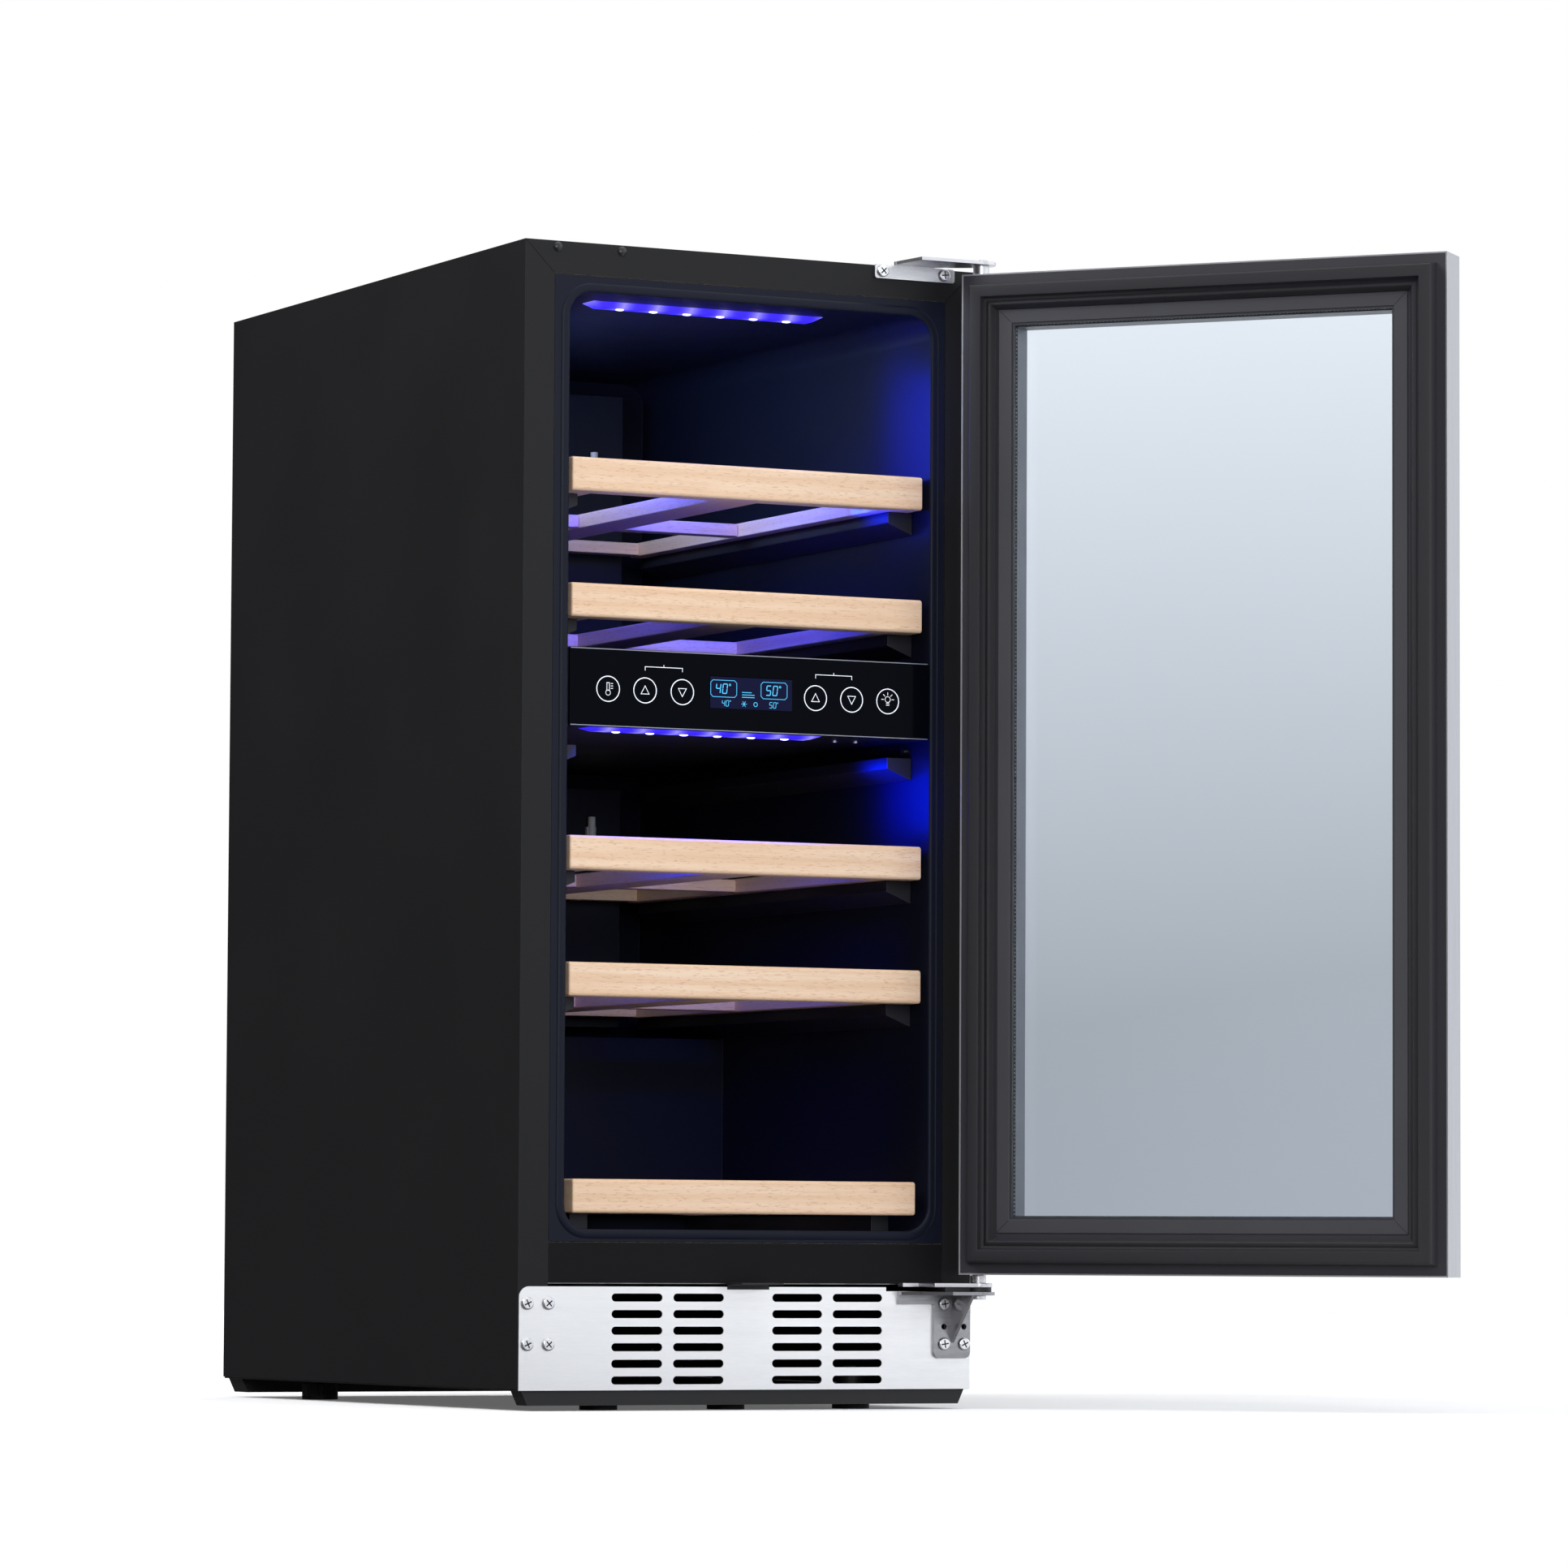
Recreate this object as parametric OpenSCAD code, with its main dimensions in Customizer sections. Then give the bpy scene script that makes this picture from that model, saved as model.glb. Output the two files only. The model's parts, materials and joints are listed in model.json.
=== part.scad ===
// Two-zone under-counter wine cooler with a glass door hung on the right and stored open.
// Origin: on the floor under the centre front foot. +X to the right of someone facing the door,
// +Y to the back, +Z up. Each sub-part is drawn in the case's own frame: x from the middle,
// y back from the front flanges, z up from the case's lower edge.

/* [Case] */
// Width of the case across its side panels
case_w = 375; // [370:1:460]
// Height of the case without its feet
case_h = 842; // [830:1:1020]
// Depth of the case without its door
case_d = 546; // [450:1:660]
// Thickness of the case's sheet steel
sheet_t = 0.8; // [0.6:0.1:1.2]
// Width of the case's folded front flanges
flange_w = 24; // [20:1:30]
// Width of the front flanges behind the kick plate
low_flange_w = 34; // [30:1:40]
// Gap between the case and the floor
floor_gap = 16; // [14:1:20]

/* [Cavity] */
// Thickness of the plastic liner
liner_t = 1.5; // [1:0.1:2.5]
// Width of the liner's front flange at the sides and the top
liner_flange = 12.5; // [8:0.5:20]
// Height of the liner's front flange under the cavity
liner_sill = 9.5; // [6:0.5:16]
// Radius of the cavity's long corners
cavity_r = 18; // [8:1:30]
// Thickness of the insulation behind the cavity
back_foam = 55; // [35:1:70]
// Depth of the step over the compressor, from the case's back
step_d = 206; // [190:1:230]
// Height of the step above the cavity's floor
step_h = 152; // [140:1:160]
// Thickness of the insulation over and in front of the step
step_foam = 30; // [20:1:40]

/* [Front] */
// Height of the vented kick plate
kick_h = 74.7; // [68:0.1:90]
// Height of the front rail above the kick plate
rail_h = 32.3; // [24:0.1:50]
// Thickness of the kick plate
kick_t = 1; // [0.8:0.1:1.5]
// Length of a vent slot
slot_w = 41.5; // [30:0.5:45]
// Height of a vent slot
slot_h = 6; // [4:0.5:8]
// Height from one row of slots to the next
slot_pitch = 12.1; // [10:0.1:12.5]

/* [Zones] */
// Height of the divider between the zones
divider_h = 58; // [50:1:64]
// Thickness of the glossy control panel
panel_t = 3; // [2:0.5:5]
// Depth of the air ducts on the cavity's back wall
duct_d = 36; // [30:1:45]

/* [Shelves] */
// Height of a shelf's front board
board_h = 25; // [20:1:32]
// Thickness of a front board, front to back
board_t = 20; // [16:1:26]
// Gap between a front board's end and the cavity's wall
board_gap = 4.5; // [3:0.5:10]
// Thickness of the rack's slats
slat_t = 11; // [8:1:14]
// Width of a rack's side slats
side_slat_w = 30; // [24:1:40]
// Width of a rack's middle slat
mid_slat_w = 36; // [24:1:50]
// Width of a moulded shelf rail
rail_w = 21; // [14:1:24]
// Height of the second lowest rail above the cavity's floor
first_rail = 170.7; // [168:0.1:190]
// Height of the cavity above the highest rail
head_room = 146.3; // [120:0.1:170]

/* [Door] */
// Angle at which the door is stored open
door_open = 130.9; // [0:0.1:131]
// Thickness of the door
door_t = 32; // [28:1:40]
// Gap between the closed door and the case, which the gasket fills
door_gap = 12; // [10:0.5:15]
// How far the door stands out past each side of the case
door_proud = 2; // [0:0.5:4]
// Width of the door's frame around the glass
frame_w = 42; // [40:1:55]
// Distance from the door's edge to its gasket
gasket_inset = 8; // [8:0.5:10]
// Width of the gasket
gasket_w = 20; // [14:1:22]
// Thickness of each pane
pane_t = 4; // [3:0.5:5]
// Length of the handle's bar
handle_len = 420; // [250:5:600]
// Diameter of the handle's bar
handle_dia = 12.7; // [10:0.1:20]
// Gap between the door and the middle of the handle's bar
handle_off = 40; // [32:1:60]

/* [Hinges and feet] */
// Distance from the case's side to the hinge axis
hinge_inset = 8; // [7:0.5:12]
// Distance from the case's front to the hinge axis
hinge_out = 27; // [25:0.5:30]
// Radius of the hinge pins
pin_r = 4; // [3:0.5:5]
// Radius of a foot's ribbed knob
foot_r = 14; // [11:1:16]
// Height of a foot's ribbed knob
foot_h = 12; // [8:1:13]
// Radius of a foot's threaded stud
stud_r = 4; // [3:0.5:5]

/* [Hidden] */
$fn = 48;

seam = 0.2;        // gap between panels that meet edge to edge
slack = 0.3;       // gap between pieces that slide past each other
running = 0.05;    // radial clearance of a shaft in its bore
cut = 1;           // how far a cut runs past the face that it opens

half_w = case_w / 2;
cavity_x = half_w - flange_w - liner_flange;
cavity_top = case_h - flange_w - liner_flange;
sill_z = kick_h + rail_h;
cavity_floor = sill_z + liner_sill;
cavity_back = case_d - back_foam;
step_y = case_d - step_d;
step_z = cavity_floor + step_h;
machine_y = step_y + step_foam;
machine_top = step_z - step_foam;
shield_z = kick_h + 2;

front_foot_y = 35;
front_foot_x = 105;
rear_foot_y = case_d - 111;
rear_foot_x = half_w - 35;
pan_t = 1.2;
beam_h = 12;
stud_top = 16;

// Shelf rails, counted from the lowest; the divider sits above the third of the upper five.
low_rail_z = cavity_floor + 12;
rail_pitch = (cavity_top - head_room - cavity_floor - first_rail) / 4;
function rail_z(i) = cavity_floor + first_rail + i * rail_pitch;
rail_y0 = 28;
rail_edge = 8.5;     // depth of a rail at its free edge
rail_root = min(17, first_rail - step_h - 1);  // and at the wall, clear of the step's top
board_y = 3;
board_x = cavity_x - board_gap;
rack_x = cavity_x - 1;
// The top of the rail that carries each shelf, from the highest shelf down
shelf_rail = [rail_z(4), rail_z(3), rail_z(1), rail_z(0), low_rail_z];
duct_y = cavity_back - duct_d;
duct_t = 1.5;
rack_end = [duct_y - 5, duct_y - 5, duct_y - 5, duct_y - 5, step_y - 4];

divider_z = rail_z(2) + 11.8;
panel_x = cavity_x - 1.5;
display_w = 68.6;
display_h = 23.8;
lens_w = 193;
lens_h = 4;
upper_lens_x = -16;
upper_lens_y = 40;
lower_lens_x = -34.5;
lower_lens_y = 4;
lens_d = 20;

door_x = half_w + door_proud;
door_z0 = kick_h + 9.6;
door_z1 = case_h - 7;
door_in = -door_gap;
door_out = -door_gap - door_t;
skin_t = 1.2;
window_x = door_x - frame_w;
window_z0 = door_z0 + frame_w + 1;
window_z1 = door_z1 - frame_w + 2;
pane_lap = 10;
hinge_x = half_w - hinge_inset;
hinge_y = -hinge_out;
bush_r = pin_r + 3;
bush_len = 14;
lock_z = door_z0 + 13;
lock_y = door_in - 8;
bolt_r = 2.5;
strike_w = 34;

hinge_screws_x = [hinge_x - 71, hinge_x - 18.5];
hinge_screws_z = case_h - 4.4;
kick_screws_x = [half_w - 7, half_w - 24];
kick_screws_z = [kick_h - 12.3, kick_h - 42.2];
kick_holes_z = kick_h - 29.3;
screw_r = 2;
screw_hole_r = screw_r + 0.2;
bracket_t = 2.5;
plate_z = kick_h - 3.2;       // top of the lower bracket's shelf

fan_r = 33;
upper_fan_z = cavity_top - 60;
lower_fan_z = divider_z - 62;
evap_fan_y = duct_y + duct_t;
condenser_fan_r = 54;
condenser_fan = [-100, machine_y + 78, condenser_fan_r + 4.5];
compressor_at = [80, case_d - 86];
inlet_in = 45;      // from the case's left side to the power inlet

// ---- helpers ----

module case_frame() { translate([0, -front_foot_y, floor_gap]) children(); }

module door_frame() {
  case_frame() translate([hinge_x, hinge_y, 0]) rotate([0, 0, door_open])
    translate([-hinge_x, -hinge_y, 0]) children();
}

module block(low, high) { translate(low) cube(high - low); }

// Extrudes an outline drawn in (x, z) from y0 back to y1.
module along_y(y0, y1) { translate([0, y1, 0]) rotate([90, 0, 0]) linear_extrude(y1 - y0) children(); }

// Extrudes an outline drawn in (y, z) from x0 across to x1.
module along_x(x0, x1) { translate([x0, 0, 0]) rotate([90, 0, 90]) linear_extrude(x1 - x0) children(); }

module rect(x0, x1, z0, z1) { translate([x0, z0]) square([x1 - x0, z1 - z0]); }

module round_rect(x0, x1, z0, z1, r) {
  rect(x0 + r, x1 - r, z0, z1);
  rect(x0, x1, z0 + r, z1 - r);
  for (x = [x0 + r, x1 - r], z = [z0 + r, z1 - r]) translate([x, z]) circle(r);
}

module slot(w, h) { round_rect(-w / 2, w / 2, -h / 2, h / 2, h / 2 - 0.001); }

module y_rod(x, y0, y1, z, r) { translate([x, y1, z]) rotate([90, 0, 0]) cylinder(r = r, h = y1 - y0); }

// A rectangular ring in (x, z), such as a frame around the door's window
module ring(x_out, z0_out, z1_out, x_in, z0_in, z1_in) {
  difference() {
    rect(-x_out, x_out, z0_out, z1_out);
    rect(-x_in, x_in, z0_in, z1_in);
  }
}

// The cavity's volume, swollen by o, open at the front
module cavity(o) {
  intersection() {
    along_x(-cavity_x - o, cavity_x + o) polygon([[-cut, cavity_floor - o], [step_y + o, cavity_floor - o],
      [step_y + o, step_z - o], [cavity_back + o, step_z - o], [cavity_back + o, cavity_top + o],
      [-cut, cavity_top + o]]);
    along_y(-cut, cavity_back + o)
      round_rect(-cavity_x - o, cavity_x + o, cavity_floor - o, cavity_top + o, cavity_r + o);
  }
}

// A pan-head screw that faces the front, head against y
module front_screw(x, y, z, shank = 6) {
  y_rod(x, y - 0.01, y + shank, z, screw_r);
  difference() {
    intersection() {
      y_rod(x, y - 2, y, z, 4);
      translate([x, y + 3, z]) sphere(r = 5);
    }
    for (a = [0, 90]) translate([x, y - 2.5, z]) rotate([0, a + 20, 0]) cube([4, 2, 0.8], center = true);
  }
}

// ---- case ----

module outer_wrapper() {
  color([0.11, 0.11, 0.12]) case_frame() difference() {
    block([-half_w, 0, 0], [half_w, case_d, case_h]);
    block([-half_w + sheet_t, sheet_t, -cut], [half_w - sheet_t, case_d + cut, case_h - sheet_t]);
    block([-half_w + flange_w, -cut, kick_h], [half_w - flange_w, 2 * sheet_t, case_h - flange_w]);
    block([-half_w + low_flange_w, -cut, -cut], [half_w - low_flange_w, 2 * sheet_t, kick_h + cut]);
    for (s = [-1, 1], x = hinge_screws_x) y_rod(s * x, -cut, 2 * sheet_t, hinge_screws_z, screw_hole_r);
    for (s = [-1, 1], x = kick_screws_x, z = kick_screws_z) y_rod(s * x, -cut, 2 * sheet_t, z, screw_hole_r);
    for (x = kick_screws_x) y_rod(x, -cut, 2 * sheet_t, kick_holes_z, screw_hole_r);
  }
}

module rear_panel() {
  color([0.13, 0.13, 0.14]) case_frame()
    block([-half_w + sheet_t + seam, case_d - sheet_t, machine_top + seam],
      [half_w - sheet_t - seam, case_d, case_h - sheet_t - seam]);
}

module foot_places() {
  for (x = [-front_foot_x, 0, front_foot_x]) translate([x, front_foot_y, 0]) children();
  for (x = [-rear_foot_x, rear_foot_x]) translate([x, rear_foot_y, 0]) children();
}

module base_pan() {
  beam = [[-half_w + 4, -pan_t], [-half_w + 9, -beam_h], [half_w - 9, -beam_h], [half_w - 4, -pan_t]];
  color([0.08, 0.08, 0.09]) case_frame() difference() {
    union() {
      block([-half_w + 1, seam, -pan_t], [half_w - 1, case_d - seam, 0]);
      along_y(2, front_foot_y - foot_r - 1) polygon(beam);
      along_y(case_d - 28, case_d - 2) polygon(beam);
      foot_places() cylinder(r = 10, h = 10);
    }
    foot_places() translate([0, 0, -pan_t - cut]) cylinder(r = stud_r + running, h = 20);
    for (x = [-1, 1]) block([x * 60 - 30, machine_y + 20, -pan_t - cut], [x * 60 + 30, machine_y + 45, cut]);
  }
}

module compartment_shield() {
  t = sheet_t;
  color([0.55, 0.56, 0.58]) case_frame() along_x(-half_w + sheet_t + seam, half_w - sheet_t - seam)
    polygon([[3, shield_z], [machine_y, shield_z], [machine_y, machine_top - t],
      [case_d - 2, machine_top - t], [case_d - 2, machine_top], [machine_y - t, machine_top],
      [machine_y - t, shield_z + t], [3, shield_z + t]]);
}

module inner_liner() {
  color([0.13, 0.145, 0.20]) case_frame() difference() {
    union() {
      cavity(liner_t);
      along_y(0, liner_t) rect(-cavity_x - liner_flange + seam, cavity_x + liner_flange - seam,
        sill_z + seam, cavity_top + liner_flange - seam);
    }
    cavity(0);
    block([-half_w, -2 * cut, 0], [half_w, 0, case_h]);
  }
}

module lower_front_rail() {
  color([0.12, 0.12, 0.13]) case_frame() difference() {
    block([-half_w + flange_w + seam, 0, shield_z + sheet_t], [half_w - flange_w - seam, 12, sill_z]);
    block([-half_w + flange_w + 2, 1.5, shield_z - cut], [half_w - flange_w - 2, 12 + cut, sill_z - 1.5]);
  }
}

module foam_insulation() {
  color([0.93, 0.88, 0.68]) case_frame() difference() {
    block([-half_w + sheet_t, liner_t, shield_z + sheet_t],
      [half_w - sheet_t, case_d - sheet_t, case_h - sheet_t]);
    cavity(liner_t);
    block([-half_w, machine_y - sheet_t, 0], [half_w, case_d, machine_top]);
    block([-half_w + flange_w, 0, 0], [half_w - flange_w, 12, sill_z]);
    for (s = [-1, 1], x = hinge_screws_x) y_rod(s * x, 0, 10, hinge_screws_z, screw_r + 1.2);
  }
}

module kick_plate() {
  column = slot_w + 9;
  color([0.78, 0.78, 0.79]) case_frame() difference() {
    along_y(-kick_t, 0) difference() {
      union() {
        round_rect(-half_w + 0.5, half_w - 0.5, -1, kick_h, 8);
        rect(-half_w + 0.5, half_w - 0.5, -1, kick_h / 2);
        rect(0, half_w - 0.5, kick_h / 2, kick_h - 3);
      }
      rect(half_w - 72, half_w, kick_h - 3, kick_h + cut);
      rect(-strike_w / 2 - 0.5, strike_w / 2 + 0.5, kick_h - 2, kick_h + cut);
      for (i = [0:5], s = [-1, 1], c = [40.9, 40.9 + column])
        translate([s * c, 6.2 + i * slot_pitch]) slot(slot_w, slot_h);
    }
    for (s = [-1, 1], x = kick_screws_x, z = kick_screws_z) y_rod(s * x, -kick_t - cut, cut, z, screw_hole_r);
    for (x = kick_screws_x) y_rod(x, -kick_t - cut, cut, kick_holes_z, screw_hole_r);
  }
}

module case_screws() {
  color([0.82, 0.82, 0.83]) case_frame() {
    for (x = kick_screws_x, z = kick_screws_z) {
      front_screw(-x, -kick_t, z);
      front_screw(x, -kick_t - bracket_t, z);
    }
    for (x = hinge_screws_x) front_screw(x, -bracket_t, hinge_screws_z);
    for (p = [[-99, 7.6], [90, 17.8], [107.5, 17]]) translate([p[0], p[1] + 20, divider_z - 1.5])
      cylinder(r = 2.6, h = 1.5);
    translate([cavity_x - 1.6, 40, divider_z - 6]) rotate([0, 90, 0]) cylinder(r = 3, h = 1.6);
  }
}

module hinge_hole_plugs() {
  color([0.04, 0.04, 0.045]) case_frame() for (x = hinge_screws_x) {
    y_rod(-x, 0, 5, hinge_screws_z, screw_r);
    intersection() {
      y_rod(-x, -1.8, 0, hinge_screws_z, 3.8);
      translate([-x, 3.6, hinge_screws_z]) sphere(r = 5.4);
    }
  }
}

// ---- hinges ----

// Where a line from p touches a circle of radius r about the hinge axis, on the side that s picks
function touch(p, r, s) = let (d = p - [hinge_x, hinge_y], a = atan2(d[1], d[0]) + s * acos(r / norm(d)))
  [hinge_x + r * cos(a), hinge_y + r * sin(a)];

// An arm's outline in (x, y), from a root between x0 and x1 at y, by its outer corner, to a round
// end about the hinge axis. Its sides run a little inside the round end, so that they cross it.
module arm(x0, x1, y, corner, r) {
  inner = 0.95 * r;
  polygon([[x0, y], [x1, y], touch([x1, y], inner, -1), [hinge_x, hinge_y], touch(corner, inner, 1), corner]);
  translate([hinge_x, hinge_y]) circle(r);
}

module top_hinge_bracket() {
  root = hinge_x - 60;
  color([0.8, 0.8, 0.81]) case_frame() difference() {
    union() {
      along_y(-bracket_t, 0) {
        round_rect(hinge_x - 77.5, hinge_x - 9.5, case_h - 10, case_h + 0.5, 2);
        rect(root, root + 33, case_h - 1, case_h + 1 + bracket_t);
      }
      translate([0, 0, case_h + 1]) linear_extrude(bracket_t)
        arm(root, root + 33, 0, [root + 4.5, hinge_y - 9], 11);
    }
    for (x = hinge_screws_x) y_rod(x, -bracket_t - cut, cut, hinge_screws_z, screw_hole_r);
    translate([hinge_x, hinge_y, case_h]) cylinder(r = pin_r + running, h = 10);
  }
}

module bottom_hinge_bracket() {
  left = hinge_x - 54.5;
  leg = hinge_x - 24.5;
  front = -kick_t - bracket_t;
  color([0.8, 0.8, 0.81]) case_frame() difference() {
    union() {
      along_y(front, -kick_t) {
        rect(left, half_w - 1.5, plate_z - 9.5, plate_z);
        round_rect(leg, half_w - 1.5, kick_h - 52.9, plate_z, 5);
        rect(leg + 6, half_w - 1.5, plate_z - 20, plate_z);
      }
      translate([0, 0, plate_z - bracket_t]) linear_extrude(bracket_t) {
        arm(left, half_w - 1.5, -kick_t, [hinge_x - 26, hinge_y - 9], 12.5);
        polygon([[left, -kick_t], [left, front - 4], [hinge_x - 26, hinge_y - 9], [hinge_x - 20, -kick_t]]);
      }
      along_x(hinge_x - 10, hinge_x - 7.5) polygon([[front, plate_z - bracket_t],
        [hinge_y - 9, plate_z - bracket_t], [front, plate_z - 38]]);
    }
    for (x = kick_screws_x, z = concat(kick_screws_z, [kick_holes_z]))
      y_rod(x, front - cut, 0, z, screw_hole_r);
    translate([hinge_x, hinge_y, plate_z - 5]) cylinder(r = pin_r + running, h = 10);
  }
}

module hinge_spacer() {
  color([0.06, 0.06, 0.065]) case_frame() translate([0, 0, plate_z]) linear_extrude(3.5) difference() {
    union() {
      translate([hinge_x - 30, hinge_y - 4]) square([38, -hinge_y + 4 - kick_t]);
      translate([hinge_x, hinge_y]) circle(10);
    }
    translate([hinge_x, hinge_y]) circle(pin_r + running);
  }
}

module bottom_hinge_plate() {
  color([0.8, 0.8, 0.81]) case_frame() translate([0, 0, plate_z + 3.5]) difference() {
    union() {
      linear_extrude(3) arm(hinge_x - 42, hinge_x - 4, -kick_t, [hinge_x - 38, hinge_y - 2], 10.5);
      block([hinge_x - 54, -9, 0], [hinge_x - 34, -kick_t, 3]);
    }
    translate([hinge_x, hinge_y, -cut]) cylinder(r = pin_r + running, h = 3 + 2 * cut);
  }
}

module hinge_pins() {
  low = plate_z - bracket_t;
  color([0.7, 0.7, 0.71]) case_frame() translate([hinge_x, hinge_y, 0]) {
    translate([0, 0, low - 3]) cylinder(r = pin_r + 2, h = 3);
    translate([0, 0, low - 0.01]) cylinder(r = pin_r, h = door_z0 + bush_len - 1 - low);
    translate([0, 0, plate_z + 6.5]) cylinder(r = 6, h = door_z0 - slack - plate_z - 6.5);
    translate([0, 0, door_z1 - bush_len + 1]) cylinder(r = pin_r, h = case_h + 1 + bracket_t - door_z1 + bush_len - 1);
    translate([0, 0, door_z1 + slack]) cylinder(r = 6, h = case_h + 1 - door_z1 - slack);
    translate([0, 0, case_h + 1 + bracket_t]) cylinder(r = pin_r + 1.5, h = 1.5);
  }
}

module lock_strike() {
  color([0.09, 0.09, 0.1]) case_frame() difference() {
    union() {
      block([-strike_w / 2, lock_y - bolt_r - 3, kick_h + 1.5], [strike_w / 2, 0, kick_h + 3]);
      block([-strike_w / 2, -kick_t, kick_h - 2 + 0.01], [strike_w / 2, 0, kick_h + 3]);
    }
    translate([0, lock_y, kick_h]) cylinder(r = bolt_r + 1, h = 6);
  }
}

// ---- zones ----

module zone_divider() {
  back = panel_t - 1;
  color([0.09, 0.09, 0.1]) case_frame() difference() {
    block([-cavity_x + seam, back, divider_z], [cavity_x - seam, cavity_back, divider_z + divider_h]);
    block([-cavity_x + 12, back - cut, divider_z + 8], [cavity_x - 12, back + 30, divider_z + divider_h - 8]);
  }
}

module control_panel() {
  mid = divider_z + divider_h / 2;
  color([0.03, 0.03, 0.035]) case_frame() along_y(-1, panel_t - 1) difference() {
    rect(-panel_x, panel_x, divider_z, divider_z + divider_h);
    rect(-display_w / 2, display_w / 2, mid - display_h / 2, mid + display_h / 2);
  }
}

module display_window() {
  mid = divider_z + divider_h / 2;
  color([0.06, 0.12, 0.35]) case_frame() block([-display_w / 2 + 0.1, -1, mid - display_h / 2 + 0.1],
    [display_w / 2 - 0.1, panel_t - 1, mid + display_h / 2 - 0.1]);
}

module circuit_boards() {
  pocket = panel_t + 3;
  color([0.1, 0.42, 0.22]) case_frame() {
    block([-cavity_x + 16, pocket, divider_z + 12], [cavity_x - 16, pocket + 1.6, divider_z + divider_h - 12]);
    translate([0, pocket + 1.59, divider_z + 22]) for (x = [-90, -30, 30, 90]) translate([x - 8, 0, 0])
      cube([16, 6, 14]);
    for (x = [-125, 125], z = [18, divider_h - 18])
      y_rod(x * panel_x / 150, panel_t - 1, pocket + 0.01, divider_z + z, 3);
    led_board(upper_lens_x, upper_lens_y, cavity_top - 1.2);
    led_board(lower_lens_x, lower_lens_y, divider_z - 1.2);
    power_board();
  }
}

// On four posts on the inside of the left panel
module power_board() {
  translate([-half_w + sheet_t, case_d - 70, machine_top - 62]) {
    translate([8, 0, 0]) cube([1.6, 60, 52]);
    for (y = [2, 22, 42]) translate([9.59, y, 10]) cube([16, 14, 26]);
    for (y = [6, 54], z = [6, 46]) translate([0, y, z]) rotate([0, 90, 0]) cylinder(r = 3, h = 8.01);
  }
}

module led_board(x, y, z) {
  translate([x - lens_w / 2 + 4, y + 4, z]) cube([lens_w - 8, lens_d - 8, 1.2]);
  for (i = [-2.5:1:2.5]) translate([x + i * 28 - 2, y + lens_d / 2 - 2, z - 0.8]) cube([4, 4, 0.81]);
}

module led_lenses() {
  color([0.3, 0.3, 0.95, 0.6]) case_frame() for (p = [[upper_lens_x, upper_lens_y, cavity_top],
      [lower_lens_x, lower_lens_y, divider_z]]) difference() {
    translate([p[0] - lens_w / 2, p[1], p[2] - lens_h]) cube([lens_w, lens_d, lens_h]);
    translate([p[0] - lens_w / 2 + 2, p[1] + 2, p[2] - lens_h + 1.2]) cube([lens_w - 4, lens_d - 4, lens_h]);
  }
}

module shelf_rails() {
  low = rail_w - 6;
  color([0.10, 0.10, 0.13]) case_frame() for (s = [0, 1]) mirror([s, 0, 0]) {
    for (i = [0:4]) along_y(rail_y0, duct_y - 4) polygon([[cavity_x, rail_z(i)], [cavity_x - rail_w, rail_z(i)],
      [cavity_x - rail_w, rail_z(i) - rail_edge], [cavity_x, rail_z(i) - rail_root]]);
    block([cavity_x - cavity_r - low, rail_y0, cavity_floor], [cavity_x - cavity_r, step_y - 4, low_rail_z]);
  }
}

// A duct cover with a round fan grille and a row of outlet slots
module duct_cover(z0, z1, fan_z) {
  w = 115;
  difference() {
    block([-w, duct_y, z0], [w, cavity_back, z1]);
    block([-w + duct_t, duct_y + duct_t, z0 + duct_t], [w - duct_t, cavity_back + cut, z1 - duct_t]);
    for (dz = [-27:9:27]) translate([0, 0, fan_z + dz]) along_y(duct_y - cut, duct_y + 2)
      slot(2 * sqrt(pow(fan_r - 2, 2) - dz * dz), 4);
    for (x = [-84, -28, 28, 84]) translate([x, 0, z0 + 16]) along_y(duct_y - cut, duct_y + 2) slot(40, 6);
  }
}

module duct_covers() {
  color([0.12, 0.12, 0.14]) case_frame() {
    duct_cover(divider_z + divider_h + 14, cavity_top - 16, upper_fan_z);
    duct_cover(step_z + 12, divider_z - 14, lower_fan_z);
  }
}

// Fins on tubes, running across x
module coil(x0, x1, y0, y1, z0, z1, pitch, tubes) {
  n = floor((x1 - x0) / pitch);
  for (i = [0:n]) translate([x0 + i * pitch, y0, z0]) cube([1, y1 - y0, z1 - z0]);
  for (k = [0:tubes - 1]) translate([x0 - 6, (y0 + y1) / 2, z0 + (k + 0.5) * (z1 - z0) / tubes])
    rotate([0, 90, 0]) cylinder(r = 3, h = x1 - x0 + 12);
}

module evaporators() {
  color([0.75, 0.76, 0.78]) case_frame() {
    coil(-95, 95, cavity_back - 12, cavity_back, divider_z + divider_h + 24, upper_fan_z - 44, 12, 5);
    coil(-95, 95, cavity_back - 12, cavity_back, step_z + 20, lower_fan_z - 44, 12, 3);
  }
}

// A square fan housing seen from the front, with its motor on four struts and a shaft
module fan_frame(r, depth) {
  side = r + 4.5;
  rotate([90, 0, 0]) translate([0, 0, -depth]) {
    difference() {
      translate([-side, -side, 0]) cube([2 * side, 2 * side, depth]);
      translate([0, 0, -cut]) cylinder(r = r + 1.5, h = depth + 2 * cut);
      for (x = [-1, 1], y = [-1, 1]) translate([x * (side - 4), y * (side - 4), -cut])
        cylinder(r = 2, h = depth + 2 * cut);
    }
    cylinder(r = r * 0.36, h = 4);
    for (a = [0:90:270]) rotate([0, 0, a + 45]) translate([0, -1.5, 0]) cube([r + 3, 3, 3]);
    cylinder(r = 1.5, h = depth - 2);
  }
}

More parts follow.
